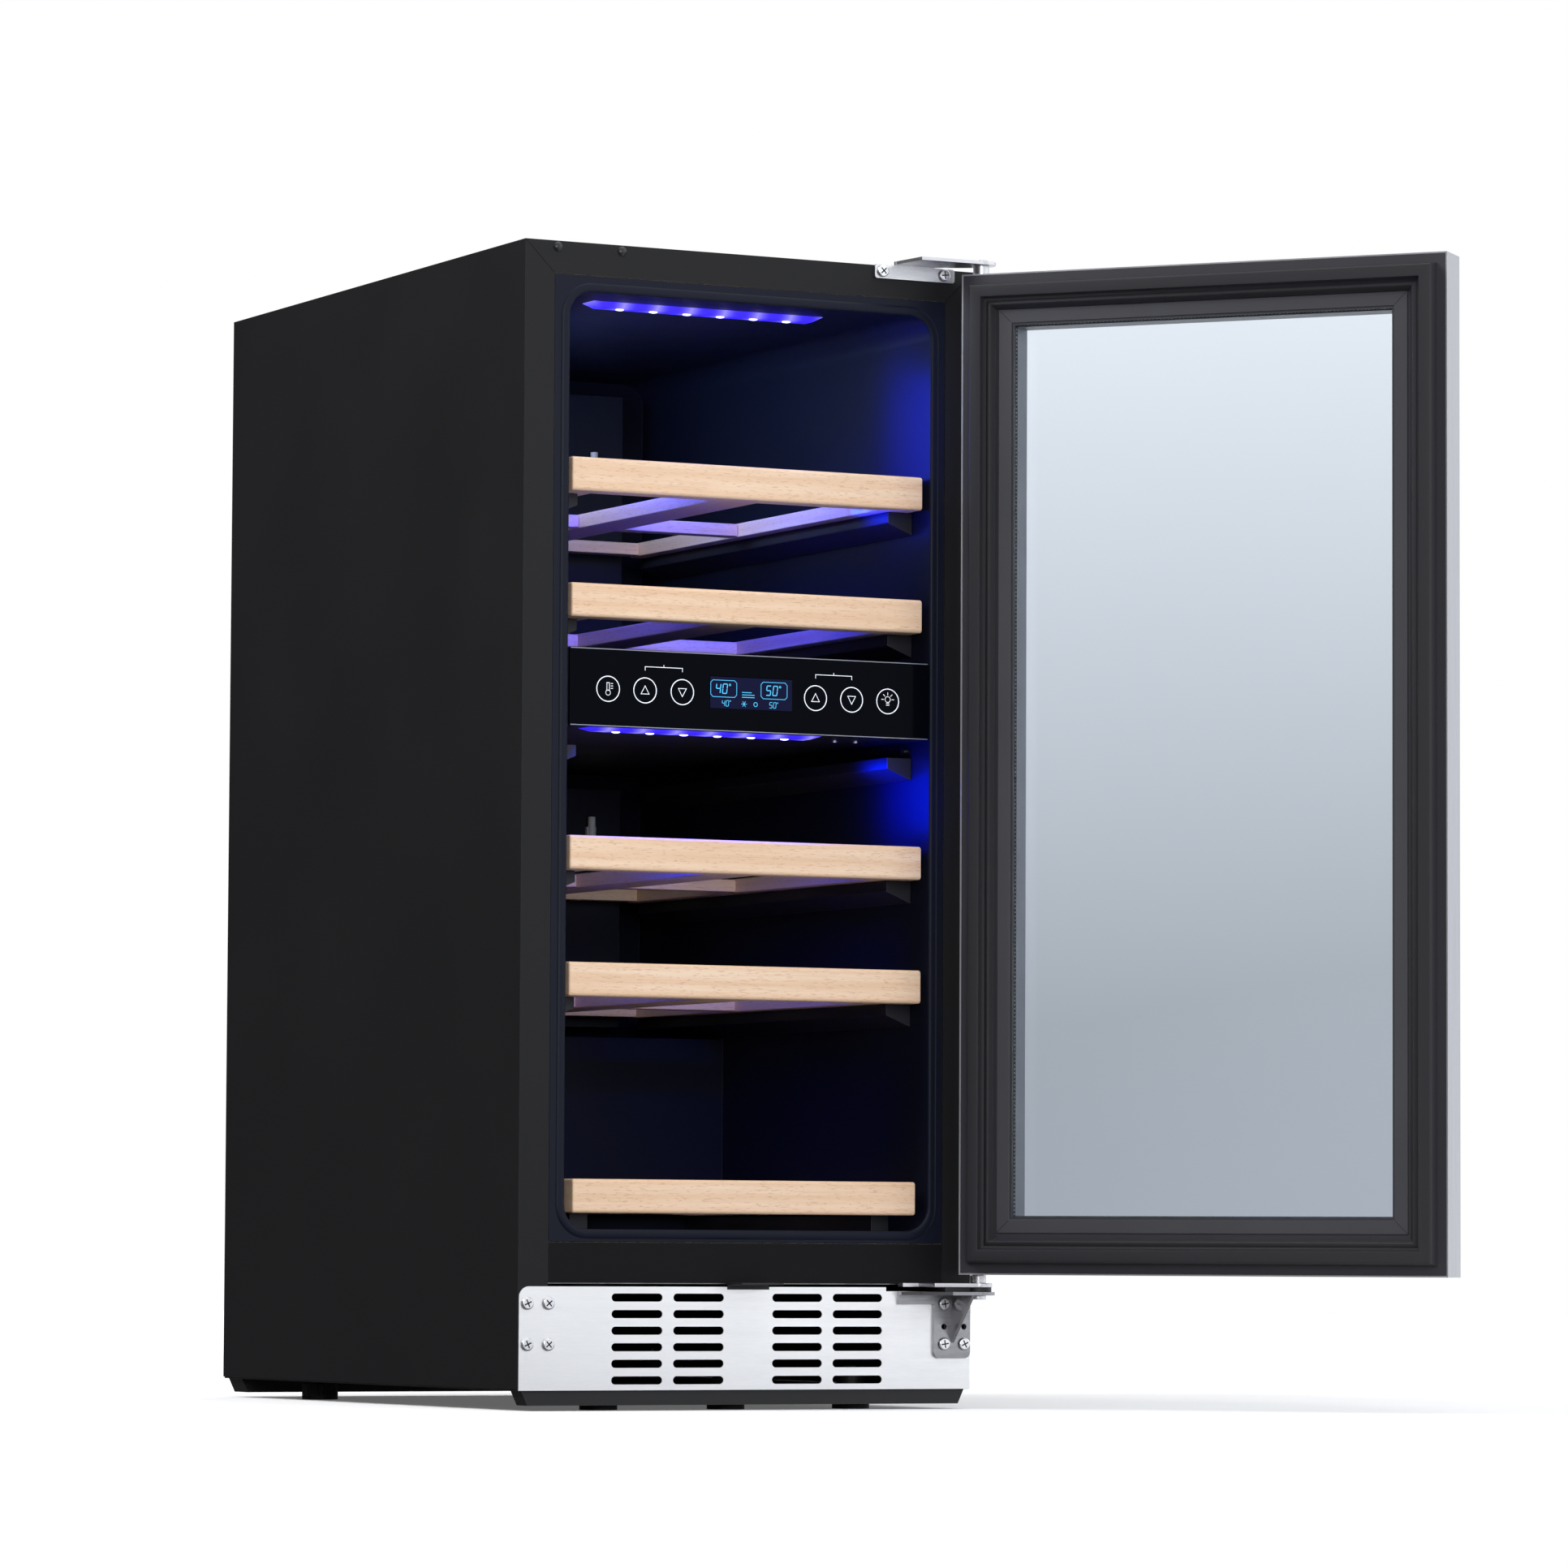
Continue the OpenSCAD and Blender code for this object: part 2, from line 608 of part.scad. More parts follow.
module fan_rotor(r, depth) {
  hub = r * 0.36;
  rotate([90, 0, 0]) translate([0, 0, -depth]) difference() {
    union() {
      translate([0, 0, 5]) cylinder(r = hub, h = depth - 6);
      intersection() {
        translate([0, 0, 5]) cylinder(r = r, h = depth - 6);
        for (a = [0:360 / 7:359]) rotate([0, 0, a]) translate([hub - 1, 0, 5 + (depth - 6) / 2])
          rotate([38, 0, 0]) translate([0, -depth, -0.8]) cube([r, 2 * depth, 1.6]);
      }
    }
    translate([0, 0, 4]) cylinder(r = 1.5 + running, h = depth);
  }
}

module fan_frames() {
  color([0.1, 0.1, 0.11]) case_frame() {
    for (z = [upper_fan_z, lower_fan_z]) translate([0, evap_fan_y, z]) fan_frame(fan_r, 18);
    translate(condenser_fan) fan_frame(condenser_fan_r, 25);
  }
}

module upper_fan_rotor() {
  color([0.16, 0.16, 0.17]) case_frame() translate([0, evap_fan_y, upper_fan_z]) fan_rotor(fan_r, 18);
}

module lower_fan_rotor() {
  color([0.16, 0.16, 0.17]) case_frame() translate([0, evap_fan_y, lower_fan_z]) fan_rotor(fan_r, 18);
}

module condenser_fan_rotor() {
  color([0.16, 0.16, 0.17]) case_frame() translate(condenser_fan) fan_rotor(condenser_fan_r, 25);
}

module temperature_sensors() {
  color([0.9, 0.9, 0.88]) case_frame() for (z = [upper_fan_z - 14, lower_fan_z + 14]) {
    translate([88, duct_y - 4, z - 12]) cylinder(r = 3, h = 24);
    block([84, duct_y - 4, z - 4], [92, duct_y, z + 4]);
  }
}

// ---- machine compartment ----

module compressor() {
  body_r = 72;
  color([0.05, 0.05, 0.055]) case_frame() translate([compressor_at[0], compressor_at[1], 0]) {
    intersection() {
      translate([0, 0, 16]) cylinder(r = body_r, h = 166);
      translate([0, 0, 99]) sphere(r = 100);
    }
    translate([0, 0, 92]) cylinder(r = body_r + 2.5, h = 7);
    difference() {
      translate([-58, -58, 13]) cube([116, 116, 3.5]);
      for (x = [-48, 48], y = [-48, 48]) translate([x, y, 10]) cylinder(r = 6.5, h = 10);
    }
    translate([-body_r - 14, -22, 70]) cube([30, 44, 50]);
    for (a = [216, 235, 252]) translate([50 * cos(a), 50 * sin(a), 150]) cylinder(r = 3.2, h = 40);
  }
}

module compressor_grommets() {
  color([0.12, 0.12, 0.12]) case_frame() translate([compressor_at[0], compressor_at[1], 0])
    for (x = [-48, 48], y = [-48, 48]) translate([x, y, 0]) difference() {
      union() {
        cylinder(r = 11, h = 12.8);
        cylinder(r = 6.3, h = 20);
      }
      translate([0, 0, -cut]) cylinder(r = 3, h = 24);
    }
}

module condenser() {
  color([0.18, 0.18, 0.19]) case_frame()
    coil(-half_w + 24, -34, machine_y + 8, machine_y + 46, 0, 132, 7, 6);
}

module drip_tray() {
  color([0.2, 0.2, 0.21]) case_frame() translate([compressor_at[0], compressor_at[1], 182]) difference() {
    translate([-45, -20, 0]) cube([100, 78, 20]);
    translate([-43, -18, 2]) cube([96, 74, 20]);
  }
}

module machine_cover() {
  color([0.16, 0.16, 0.17]) case_frame() along_y(case_d - sheet_t, case_d) difference() {
    rect(-half_w + sheet_t + seam, half_w - sheet_t - seam, seam, machine_top);
    for (i = [0:13], x = [-95, 95]) translate([x, 84 + i * 10]) slot(140, 4);
    rect(-half_w + inlet_in, -half_w + inlet_in + 30, 30, 56);
  }
}

module power_inlet() {
  color([0.05, 0.05, 0.05]) case_frame() translate([-half_w + inlet_in, 0, 0]) difference() {
    union() {
      block([seam, case_d - 24, 30.2], [30 - seam, case_d, 55.8]);
      block([-4, case_d - 3, 26], [34, case_d - sheet_t, 60]);
    }
    block([3.5, case_d - 18, 33.5], [26.5, case_d + cut, 52.5]);
  }
}

// ---- door, drawn closed ----

module door_skin() {
  color([0.78, 0.78, 0.8]) door_frame() difference() {
    block([-door_x, door_out, door_z0], [door_x, door_in, door_z1]);
    block([-door_x + skin_t, door_out + skin_t, door_z0 + skin_t],
      [door_x - skin_t, door_in + cut, door_z1 - skin_t]);
    along_y(door_out - cut, door_in) rect(-window_x, window_x, window_z0, window_z1);
    for (z = [door_z0 - cut, door_z1 - 2 * cut]) translate([hinge_x, hinge_y, z]) cylinder(r = bush_r + 0.1, h = 3);
    y_rod(0, door_out - cut, door_out + 3, lock_z, 6.2);
    translate([0, lock_y, door_z0 - cut]) cylinder(r = bolt_r + slack, h = 3);
  }
}

module door_inner_frame() {
  o = skin_t + 0.1;
  lip = door_in - 2.5;
  color([0.13, 0.13, 0.14]) door_frame() difference() {
    along_y(door_out + o, door_in)
      ring(door_x - o, door_z0 + o, door_z1 - o, window_x, window_z0, window_z1);
    along_y(door_out, lip) rect(-window_x - pane_lap - seam, window_x + pane_lap + seam,
      window_z0 - pane_lap - seam, window_z1 + pane_lap + seam);
    along_y(door_in - 3, door_in + cut) gasket_groove();
    for (z = [door_z0 - cut, door_z1 - bush_len - 1]) translate([hinge_x, hinge_y, z])
      cylinder(r = bush_r + 0.1, h = bush_len + 2);
    y_rod(0, door_out - cut, lock_y - 2, lock_z, 6.2);
    translate([0, lock_y, door_z0 - cut]) cylinder(r = bolt_r + slack, h = 18);
    y_rod(0, lock_y - 4, lock_y + bolt_r, lock_z, 3.5);
  }
}

function inset_from_edge(d) = [door_x - d, door_z0 + d, door_z1 - d];

// The groove around the frame that holds the gasket's foot
module gasket_groove() {
  a = inset_from_edge(gasket_inset + 6);
  b = inset_from_edge(gasket_inset + 10);
  ring(a[0], a[1], a[2], b[0], b[1], b[2]);
}

module gasket_ring(d0, d1, y0, y1) {
  a = inset_from_edge(gasket_inset + d0);
  b = inset_from_edge(gasket_inset + d1);
  along_y(y0, y1) ring(a[0], a[1], a[2], b[0], b[1], b[2]);
}

module door_gasket() {
  color([0.09, 0.09, 0.1]) door_frame() {
    gasket_ring(0, gasket_w, door_in, door_in + 3);
    gasket_ring(2, gasket_w - 2, door_in + 2.9, door_in + 6.5);
    gasket_ring(1, 11, door_in + 6.4, -slack - 0.1);
    gasket_ring(6.2, 9.8, door_in - 2.8, door_in + 0.1);
  }
}

module glass_panes() {
  x = window_x + pane_lap;
  color([0.75, 0.82, 0.86, 0.35]) door_frame() for (y = [door_out + skin_t, door_in - 2.5 - pane_t])
    block([-x, y, window_z0 - pane_lap], [x, y + pane_t, window_z1 + pane_lap]);
}

module glass_spacer() {
  x = window_x + pane_lap;
  color([0.6, 0.6, 0.62]) door_frame() along_y(door_out + skin_t + pane_t, door_in - 2.5 - pane_t)
    ring(x - 1, window_z0 - pane_lap + 1, window_z1 + pane_lap - 1, x - 11, window_z0 + 1, window_z1 - 1);
}

module door_handle() {
  x = -door_x + 28;
  y = door_out - handle_off;
  mid = (door_z0 + door_z1) / 2;
  color([0.78, 0.78, 0.8]) door_frame() {
    translate([x, y, mid - handle_len / 2]) cylinder(d = handle_dia, h = handle_len);
    for (s = [-1, 1]) {
      y_rod(x, y, door_out, mid + s * (handle_len / 2 - 40), 5);
      y_rod(x, door_out - 3, door_out, mid + s * (handle_len / 2 - 40), 7.5);
    }
  }
}

module hinge_bushings() {
  color([0.85, 0.85, 0.83]) door_frame() for (z = [door_z0, door_z1 - bush_len])
    translate([hinge_x, hinge_y, z]) difference() {
      cylinder(r = bush_r, h = bush_len);
      translate([0, 0, -cut]) cylinder(r = pin_r + running, h = bush_len + 2 * cut);
    }
}

module door_lock_body() {
  color([0.7, 0.7, 0.71]) door_frame() difference() {
    y_rod(0, door_out - 1, lock_y - 3, lock_z, 6);
    y_rod(0, door_out - 2, lock_y, lock_z, 3.5 + running);
  }
}

module lock_barrel() {
  color([0.76, 0.74, 0.66]) door_frame() difference() {
    union() {
      y_rod(0, door_out - 1.5, lock_y - 3, lock_z, 3.5);
      y_rod(0, lock_y - 3.01, lock_y - bolt_r - slack, lock_z, 2.2);
    }
    translate([0, door_out - 1.5, lock_z]) cube([1.2, 6, 5], center = true);
  }
}

module lock_bolt() {
  color([0.72, 0.72, 0.73]) door_frame()
    translate([0, lock_y, door_z0 + 0.5]) cylinder(r = bolt_r, h = 16);
}

// ---- shelves, counted from the highest ----

module shelf_front(k) {
  z = shelf_rail[k] - seam;
  x = board_x - (k == 4 ? 4 : 0);
  color([0.93, 0.79, 0.62]) case_frame() along_x(-x, x)
    round_rect(board_y, board_y + board_t, z, z + board_h, 2.5);
}

module shelf_rack(k) {
  z = shelf_rail[k] + slack;
  y0 = board_y + board_t;
  y1 = rack_end[k];
  edge = rack_x - (k == 4 ? cavity_r - 8 : 0);
  color([0.85, 0.72, 0.56]) case_frame() {
    for (s = [0, 1]) mirror([s, 0, 0]) block([edge - side_slat_w, y0, z], [edge, y1, z + slat_t]);
    block([-mid_slat_w / 2, y0, z], [mid_slat_w / 2, y1, z + slat_t]);
    for (y = [y0 + (y1 - y0) * 0.55, y1 - 18]) block([-edge + 1, y, z], [edge - 1, y + 15, z + slat_t]);
  }
}

// ---- feet ----

module foot(x, y) {
  color([0.07, 0.07, 0.075]) case_frame() translate([x, y, -floor_gap]) {
    difference() {
      cylinder(r = foot_r, h = foot_h);
      for (a = [0:20:359]) rotate([0, 0, a]) translate([foot_r + 0.4, 0, 3]) cylinder(r = 1.4, h = foot_h);
    }
    translate([0, 0, foot_h - 0.01]) cylinder(r = stud_r, h = floor_gap + stud_top - foot_h);
  }
}

outer_wrapper();
rear_panel();
base_pan();
compartment_shield();
inner_liner();
lower_front_rail();
foam_insulation();
kick_plate();
case_screws();
hinge_hole_plugs();
top_hinge_bracket();
bottom_hinge_bracket();
hinge_spacer();
bottom_hinge_plate();
hinge_pins();
lock_strike();
zone_divider();
control_panel();
display_window();
circuit_boards();
led_lenses();
shelf_rails();
duct_covers();
evaporators();
fan_frames();
temperature_sensors();
compressor();
compressor_grommets();
condenser();
drip_tray();
power_inlet();
machine_cover();
upper_fan_rotor();
lower_fan_rotor();
condenser_fan_rotor();
door_skin();
door_inner_frame();
door_gasket();
glass_panes();
glass_spacer();
door_handle();
hinge_bushings();
door_lock_body();
lock_barrel();
lock_bolt();
shelf_front(0);  // shelf_1_front
shelf_rack(0);  // shelf_1_rack
shelf_front(1);  // shelf_2_front
shelf_rack(1);  // shelf_2_rack
shelf_front(2);  // shelf_3_front
shelf_rack(2);  // shelf_3_rack
shelf_front(3);  // shelf_4_front
shelf_rack(3);  // shelf_4_rack
shelf_front(4);  // shelf_5_front
shelf_rack(4);  // shelf_5_rack
foot(-front_foot_x, front_foot_y);  // front_left_foot
foot(0, front_foot_y);  // front_centre_foot
foot(front_foot_x, front_foot_y);  // front_right_foot
foot(-rear_foot_x, rear_foot_y);  // rear_left_foot
foot(rear_foot_x, rear_foot_y);  // rear_right_foot
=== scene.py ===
"""The looks of a two-zone wine cooler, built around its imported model.

Sizes are in millimetres in the case's own frame (x from the middle, y back from the front
flanges, z up from the case's lower edge) and are turned into metres by CaseFrame.
"""

from __future__ import annotations

import json
import logging
import math
from dataclasses import dataclass, field
from enum import Enum
from typing import Iterable, Optional, Sequence

import bpy
from mathutils import Matrix, Vector

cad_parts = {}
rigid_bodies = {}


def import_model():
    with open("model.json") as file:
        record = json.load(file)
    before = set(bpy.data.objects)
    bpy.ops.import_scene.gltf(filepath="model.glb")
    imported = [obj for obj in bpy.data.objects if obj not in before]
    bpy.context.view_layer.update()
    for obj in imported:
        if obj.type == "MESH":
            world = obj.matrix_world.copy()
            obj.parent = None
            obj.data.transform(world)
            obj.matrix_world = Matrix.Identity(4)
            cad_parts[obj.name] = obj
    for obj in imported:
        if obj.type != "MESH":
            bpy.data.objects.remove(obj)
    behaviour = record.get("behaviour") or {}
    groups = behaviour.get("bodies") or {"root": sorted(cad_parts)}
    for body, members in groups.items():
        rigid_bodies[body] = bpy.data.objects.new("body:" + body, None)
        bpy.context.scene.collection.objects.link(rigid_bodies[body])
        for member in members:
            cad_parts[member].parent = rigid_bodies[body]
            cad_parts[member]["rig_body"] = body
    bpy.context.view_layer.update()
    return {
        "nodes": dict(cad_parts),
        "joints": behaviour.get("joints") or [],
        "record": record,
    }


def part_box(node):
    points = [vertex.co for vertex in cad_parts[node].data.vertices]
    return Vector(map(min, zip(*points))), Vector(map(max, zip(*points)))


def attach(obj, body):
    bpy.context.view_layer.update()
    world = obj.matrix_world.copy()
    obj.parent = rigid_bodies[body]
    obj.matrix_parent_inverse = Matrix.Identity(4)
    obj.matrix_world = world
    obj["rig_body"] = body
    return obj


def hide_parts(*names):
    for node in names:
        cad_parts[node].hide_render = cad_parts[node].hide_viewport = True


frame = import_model()
SLOTS = {part["node"]: part["material_slot"] for part in frame["record"]["subparts"]}
LOG = logging.getLogger("wine_cooler")
MM = 0.001
SMOOTH_BELOW = math.radians(38)
FLAT_BELOW = math.radians(0.5)
WELD = 2e-6
LAMP_DROP = 6.0
Colour = tuple[float, float, float]
Point = tuple[float, float, float]
Pair = tuple[float, float]
Socket = bpy.types.NodeSocket
Node = bpy.types.Node
NodeTree = bpy.types.NodeTree
Piece = bpy.types.Object


def heading(degrees: float) -> Vector:
    """The unit direction at an angle."""
    return Vector((math.cos(math.radians(degrees)), math.sin(math.radians(degrees))))


def srgb(red: int, green: int, blue: int) -> Colour:
    """Turns a colour read off a colour chart (0 to 255) into linear light."""
    def linear(value: int) -> float:
        """Linear light of one channel."""
        v = value / 255
        return v / 12.92 if v <= 0.04045 else ((v + 0.055) / 1.055) ** 2.4
    return linear(red), linear(green), linear(blue)


class Along(Enum):
    """The direction in which a brushed or grained pattern runs."""

    X = (1.0, 14.0, 14.0)
    Y = (14.0, 1.0, 14.0)
    Z = (14.0, 14.0, 1.0)


class Body(Enum):
    """The moving bodies that new pieces ride on."""

    CABINET = "cabinet"
    DOOR = "door"


class Look(Enum):
    """Every finish on the cooler, by the name of its material."""

    WRAPPER = "satin_black_steel"
    # painted shade: near-black strips standing in for the shadow in mitre gaps
    FLANGE_SEAM = "seam_shadow"
    PAN = "black_pan_steel"
    LINER = "navy_liner_plastic"
    RAIL = "front_rail_plastic"
    SHELF_RAIL = "shelf_rail_plastic"
    DIVIDER = "divider_plastic"
    DUCT = "duct_cover_plastic"
    PANEL = "panel_gloss_black"
    # painted light: printed key lines given a faint glow
    KEY_LINE = "white_key_lines"
    EDGE_LINE = "panel_edge_line"
    DISPLAY = "display_glass"
    DIGITS = "cyan_digits"
    LENS = "led_lens_blue"
    CHIP = "led_chip_glow"
    KICK = "brushed_kick_steel"
    HINGE = "hinge_steel"
    # painted shade: a darker copy of the hinge steel
    BRACKET = "bracket_steel"
    SCREW = "screw_steel"
    PLUG = "plug_plastic"
    BLACK = "moulded_black"
    DOOR_FRAME = "door_frame_plastic"
    BEAD = "window_bead_plastic"
    GASKET = "gasket_rubber"
    SKIN = "brushed_door_steel"
    GLASS = "pane_glass"
    SPACER = "spacer_aluminium"
    BEECH = "beech_across"
    BEECH_LONG = "beech_lengthwise"
    GALVANISED = "galvanised_steel"
    FOAM = "rigid_foam"
    COIL = "coil_aluminium"
    BOARD = "circuit_board"
    SENSOR = "sensor_white"
    ENAMEL = "compressor_enamel"
    RUBBER = "foot_rubber"
    BUSH = "bush_nylon"
    BRASS = "lock_brass"


# ---- shader tools ----


class Tree:
    """A short way to add and join the nodes of one node tree."""

    def __init__(self, tree: NodeTree) -> None:
        """Keeps the tree that the nodes go into."""
        self.tree = tree

    def add(self, kind: str, **settings: object) -> Node:
        """Adds a node.

        Args:
            kind: the node's type, without the ShaderNode in front.
            settings: the node's own properties.

        Returns:
            The new node.
        """
        node = self.tree.nodes.new(kind if kind.startswith("Node") else "ShaderNode" + kind)
        for name, value in settings.items():
            setattr(node, name, value)
        return node

    def join(self, source: Socket, target: Socket) -> None:
        """Links two sockets."""
        self.tree.links.new(source, target)

    def math(self, operation: str, *values: object, clamp: bool = False) -> Socket:
        """Adds a maths node.

        Args:
            operation: what it does.
            values: numbers, or sockets that feed it.
            clamp: whether the result is held between 0 and 1.

        Returns:
            The result's socket.
        """
        node = self.add("Math", operation=operation, use_clamp=clamp)
        for place, value in enumerate(values):
            if isinstance(value, (int, float)):
                node.inputs[place].default_value = value
            else:
                self.join(value, node.inputs[place])
        return node.outputs[0]

    def noise(self, vector: Socket, scale: float, detail: float = 3.0,
              roughness: float = 0.55) -> Socket:
        """Adds a noise texture and returns its value."""
        node = self.add("TexNoise")
        node.inputs["Scale"].default_value = scale
        node.inputs["Detail"].default_value = detail
        node.inputs["Roughness"].default_value = roughness
        self.join(vector, node.inputs["Vector"])
        return node.outputs[0]

    def stretch(self, vector: Socket, scale: Sequence[float]) -> Socket:
        """Scales a vector so that a pattern runs along one direction."""
        node = self.add("VectorMath", operation="MULTIPLY")
        node.inputs[1].default_value = tuple(scale)
        self.join(vector, node.inputs[0])
        return node.outputs[0]

    def between(self, value: Socket, low: float, high: float, new_low: float = 0.0,
                new_high: float = 1.0) -> Socket:
        """Moves a value from one range to another, held inside it."""
        node = self.add("MapRange", clamp=True)
        for name, number in (("From Min", low), ("From Max", high), ("To Min", new_low), ("To Max", new_high)):
            node.inputs[name].default_value = number
        self.join(value, node.inputs["Value"])
        return node.outputs[0]

    def blend(self, factor: Socket, first: object, second: object,
              how: str = "MIX") -> Socket:
        """Mixes two colours, each a colour or a socket, and returns the result."""
        node = self.add("Mix", data_type="RGBA", blend_type=how)
        self.join(factor, node.inputs["Factor"])
        for name, value in (("A", first), ("B", second)):
            socket = next(s for s in node.inputs if s.name == name and s.type == "RGBA")
            if isinstance(value, tuple):
                socket.default_value = (*value, 1.0)
            else:
                self.join(value, socket)
        return next(s for s in node.outputs if s.type == "RGBA")

    def group(self, group: NodeTree, **inputs: object) -> Node:
        """Places a shared effect.

        Args:
            group: the effect's node group.
            inputs: its values by name, with _ for a space.

        Returns:
            The group's node.
        """
        node = self.add("Group", node_tree=group)
        for name, value in inputs.items():
            socket = node.inputs[name.replace("_", " ")]
            if isinstance(value, Socket):
                self.join(value, socket)
            elif isinstance(value, tuple) and len(value) == 3 and socket.type == "RGBA":
                socket.default_value = (*value, 1.0)
            else:
                socket.default_value = value
        return node


class SharedEffects:
    """The effects that more than one finish uses, each a node group built once."""

    def __init__(self) -> None:
        """Builds the groups."""
        self.drift = self._drift()
        self.edge_wear = self._edge_wear()
        self.moulded = self._moulded()
        self.brushed = self._brushed()
        self.beech = self._beech()
        self.dots = self._dots()

    @staticmethod
    def _new(name: str, takes: Iterable[tuple[str, str]], gives: Iterable[tuple[str, str]]
             ) -> tuple[Tree, Node, Node]:
        """Starts a node group.

        Args:
            name: the group's name.
            takes: name and socket type of each input.
            gives: name and socket type of each output.

        Returns:
            The group's tree, its input node and its output node.
        """
        group = bpy.data.node_groups.new(name, "ShaderNodeTree")
        for title, kind in takes:
            group.interface.new_socket(name=title, in_out="INPUT", socket_type="NodeSocket" + kind)
        for title, kind in gives:
            group.interface.new_socket(name=title, in_out="OUTPUT", socket_type="NodeSocket" + kind)
        tree = Tree(group)
        return tree, tree.add("NodeGroupInput"), tree.add("NodeGroupOutput")

    def _drift(self) -> NodeTree:
        """Slow changes of tone over a surface, as on any real paint or plastic."""
        t, take, give = self._new("tone_drift", [("Vector", "Vector"), ("Color", "Color"), ("Scale", "Float"),
                                                 ("Amount", "Float")], [("Color", "Color"), ("Value", "Float")])
        noise = t.add("TexNoise")
        noise.inputs["Detail"].default_value = 4.0
        t.join(take.outputs["Vector"], noise.inputs["Vector"])
        t.join(take.outputs["Scale"], noise.inputs["Scale"])
        swing = t.math("MULTIPLY", t.math("SUBTRACT", noise.outputs[0], 0.5), take.outputs["Amount"])
        tint = t.add("HueSaturation")
        t.join(t.math("ADD", swing, 1.0), tint.inputs["Value"])
        t.join(take.outputs["Color"], tint.inputs["Color"])
        t.join(tint.outputs[0], give.inputs["Color"])
        t.join(noise.outputs[0], give.inputs["Value"])
        return t.tree

    def _edge_wear(self) -> NodeTree:
        """A mask of rubbed edges, broken up so that it looks handled."""
        t, take, give = self._new("edge_wear", [("Vector", "Vector"), ("Radius", "Float"), ("Amount", "Float")],
                                  [("Mask", "Float")])
        bevel = t.add("Bevel", samples=3)
        t.join(take.outputs["Radius"], bevel.inputs["Radius"])
        flat = t.add("NewGeometry")
        dot = t.add("VectorMath", operation="DOT_PRODUCT")
        t.join(bevel.outputs[0], dot.inputs[0])
        t.join(flat.outputs["Normal"], dot.inputs[1])
        edge = t.between(t.math("SUBTRACT", 1.0, dot.outputs["Value"]), 0.02, 0.25)
        patchy = t.between(t.noise(take.outputs["Vector"], 60.0, 5.0, 0.7), 0.35, 0.65)
        t.join(t.math("MULTIPLY", t.math("MULTIPLY", edge, patchy), take.outputs["Amount"], clamp=True),
               give.inputs["Mask"])
        return t.tree

    def _moulded(self) -> NodeTree:
        """A fine leather-like or spark-eroded texture."""
        t, take, give = self._new("moulded_texture", [("Vector", "Vector"), ("Scale", "Float")],
                                  [("Height", "Float"), ("Grain", "Float")])
        cells = t.add("TexVoronoi", feature="SMOOTH_F1")
        cells.inputs["Smoothness"].default_value = 0.6
        t.join(take.outputs["Vector"], cells.inputs["Vector"])
        t.join(take.outputs["Scale"], cells.inputs["Scale"])
        fine = t.add("TexNoise")
        fine.inputs["Detail"].default_value = 2.0
        t.join(take.outputs["Vector"], fine.inputs["Vector"])
        t.join(t.math("MULTIPLY", take.outputs["Scale"], 2.3), fine.inputs["Scale"])
        t.join(t.math("ADD", cells.outputs["Distance"], t.math("MULTIPLY", fine.outputs[0], 0.5)),
               give.inputs["Height"])
        t.join(fine.outputs[0], give.inputs["Grain"])
        return t.tree

    def _brushed(self) -> NodeTree:
        """Fine lines of a brushed sheet, along the direction in which the vector is short."""
        t, take, give = self._new("brushed_lines", [("Vector", "Vector")], [("Height", "Float"), ("Streak", "Float")])
        fine = t.noise(take.outputs["Vector"], 95.0, 4.0, 0.7)
        broad = t.noise(take.outputs["Vector"], 12.0, 2.0)
        t.join(fine, give.inputs["Height"])
        t.join(t.math("ADD", t.math("MULTIPLY", fine, 0.6), t.math("MULTIPLY", broad, 0.4)), give.inputs["Streak"])
        return t.tree

    def _beech(self) -> NodeTree:
        """Beech with faint rings, fine fibres and short ray flecks, running along the vector's x."""
        t, take, give = self._new("beech_grain", [("Vector", "Vector")],
                                  [("Color", "Color"), ("Height", "Float"), ("Fibre", "Float")])
        along = t.stretch(take.outputs["Vector"], (1.0, 12.0, 12.0))
        rings = t.add("TexWave", wave_type="BANDS", bands_direction="Z")
        for name, value in (("Scale", 2.1), ("Distortion", 5.0), ("Detail", 3.0), ("Detail Scale", 0.8)):
            rings.inputs[name].default_value = value
        t.join(along, rings.inputs["Vector"])
        fibre = t.noise(t.stretch(take.outputs["Vector"], (14.0, 420.0, 420.0)), 1.0, 4.0, 0.65)
        patch = t.noise(t.stretch(take.outputs["Vector"], (5.0, 26.0, 26.0)), 1.0, 2.0)
        flecks = t.noise(t.stretch(take.outputs["Vector"], (170.0, 1300.0, 1300.0)), 1.0, 1.0)
        fleck = t.between(flecks, 0.6, 0.68)
        wood = t.blend(rings.outputs["Fac"], srgb(246, 219, 193), srgb(238, 204, 173))
        wood = t.blend(t.between(patch, 0.35, 0.7, 0.0, 0.6), wood, srgb(234, 196, 161))
        wood = t.blend(t.between(fibre, 0.42, 0.7, 0.0, 0.45), wood, srgb(222, 181, 145))
        wood = t.blend(t.math("MULTIPLY", fleck, 0.42), wood, srgb(200, 152, 114))
        t.join(wood, give.inputs["Color"])
        t.join(t.math("SUBTRACT", fibre, t.math("MULTIPLY", fleck, 0.6)), give.inputs["Height"])
        t.join(fibre, give.inputs["Fibre"])
        return t.tree

    def _dots(self) -> NodeTree:
        """A row of round dots at an even pitch along both the upright and the level."""
        t, take, give = self._new("dot_rows", [("Vector", "Vector"), ("Pitch", "Float")], [("Mask", "Float")])
        parts = t.add("SeparateXYZ")
        t.join(take.outputs["Vector"], parts.inputs[0])
        rows = []
        for axis in (0, 2):
            step = t.math("FRACT", t.math("DIVIDE", parts.outputs[axis], take.outputs["Pitch"]))
            rows.append(t.math("LESS_THAN", t.math("ABSOLUTE", t.math("SUBTRACT", step, 0.5)), 0.17))
        t.join(t.math("MULTIPLY", rows[0], rows[1]), give.inputs["Mask"])
        return t.tree


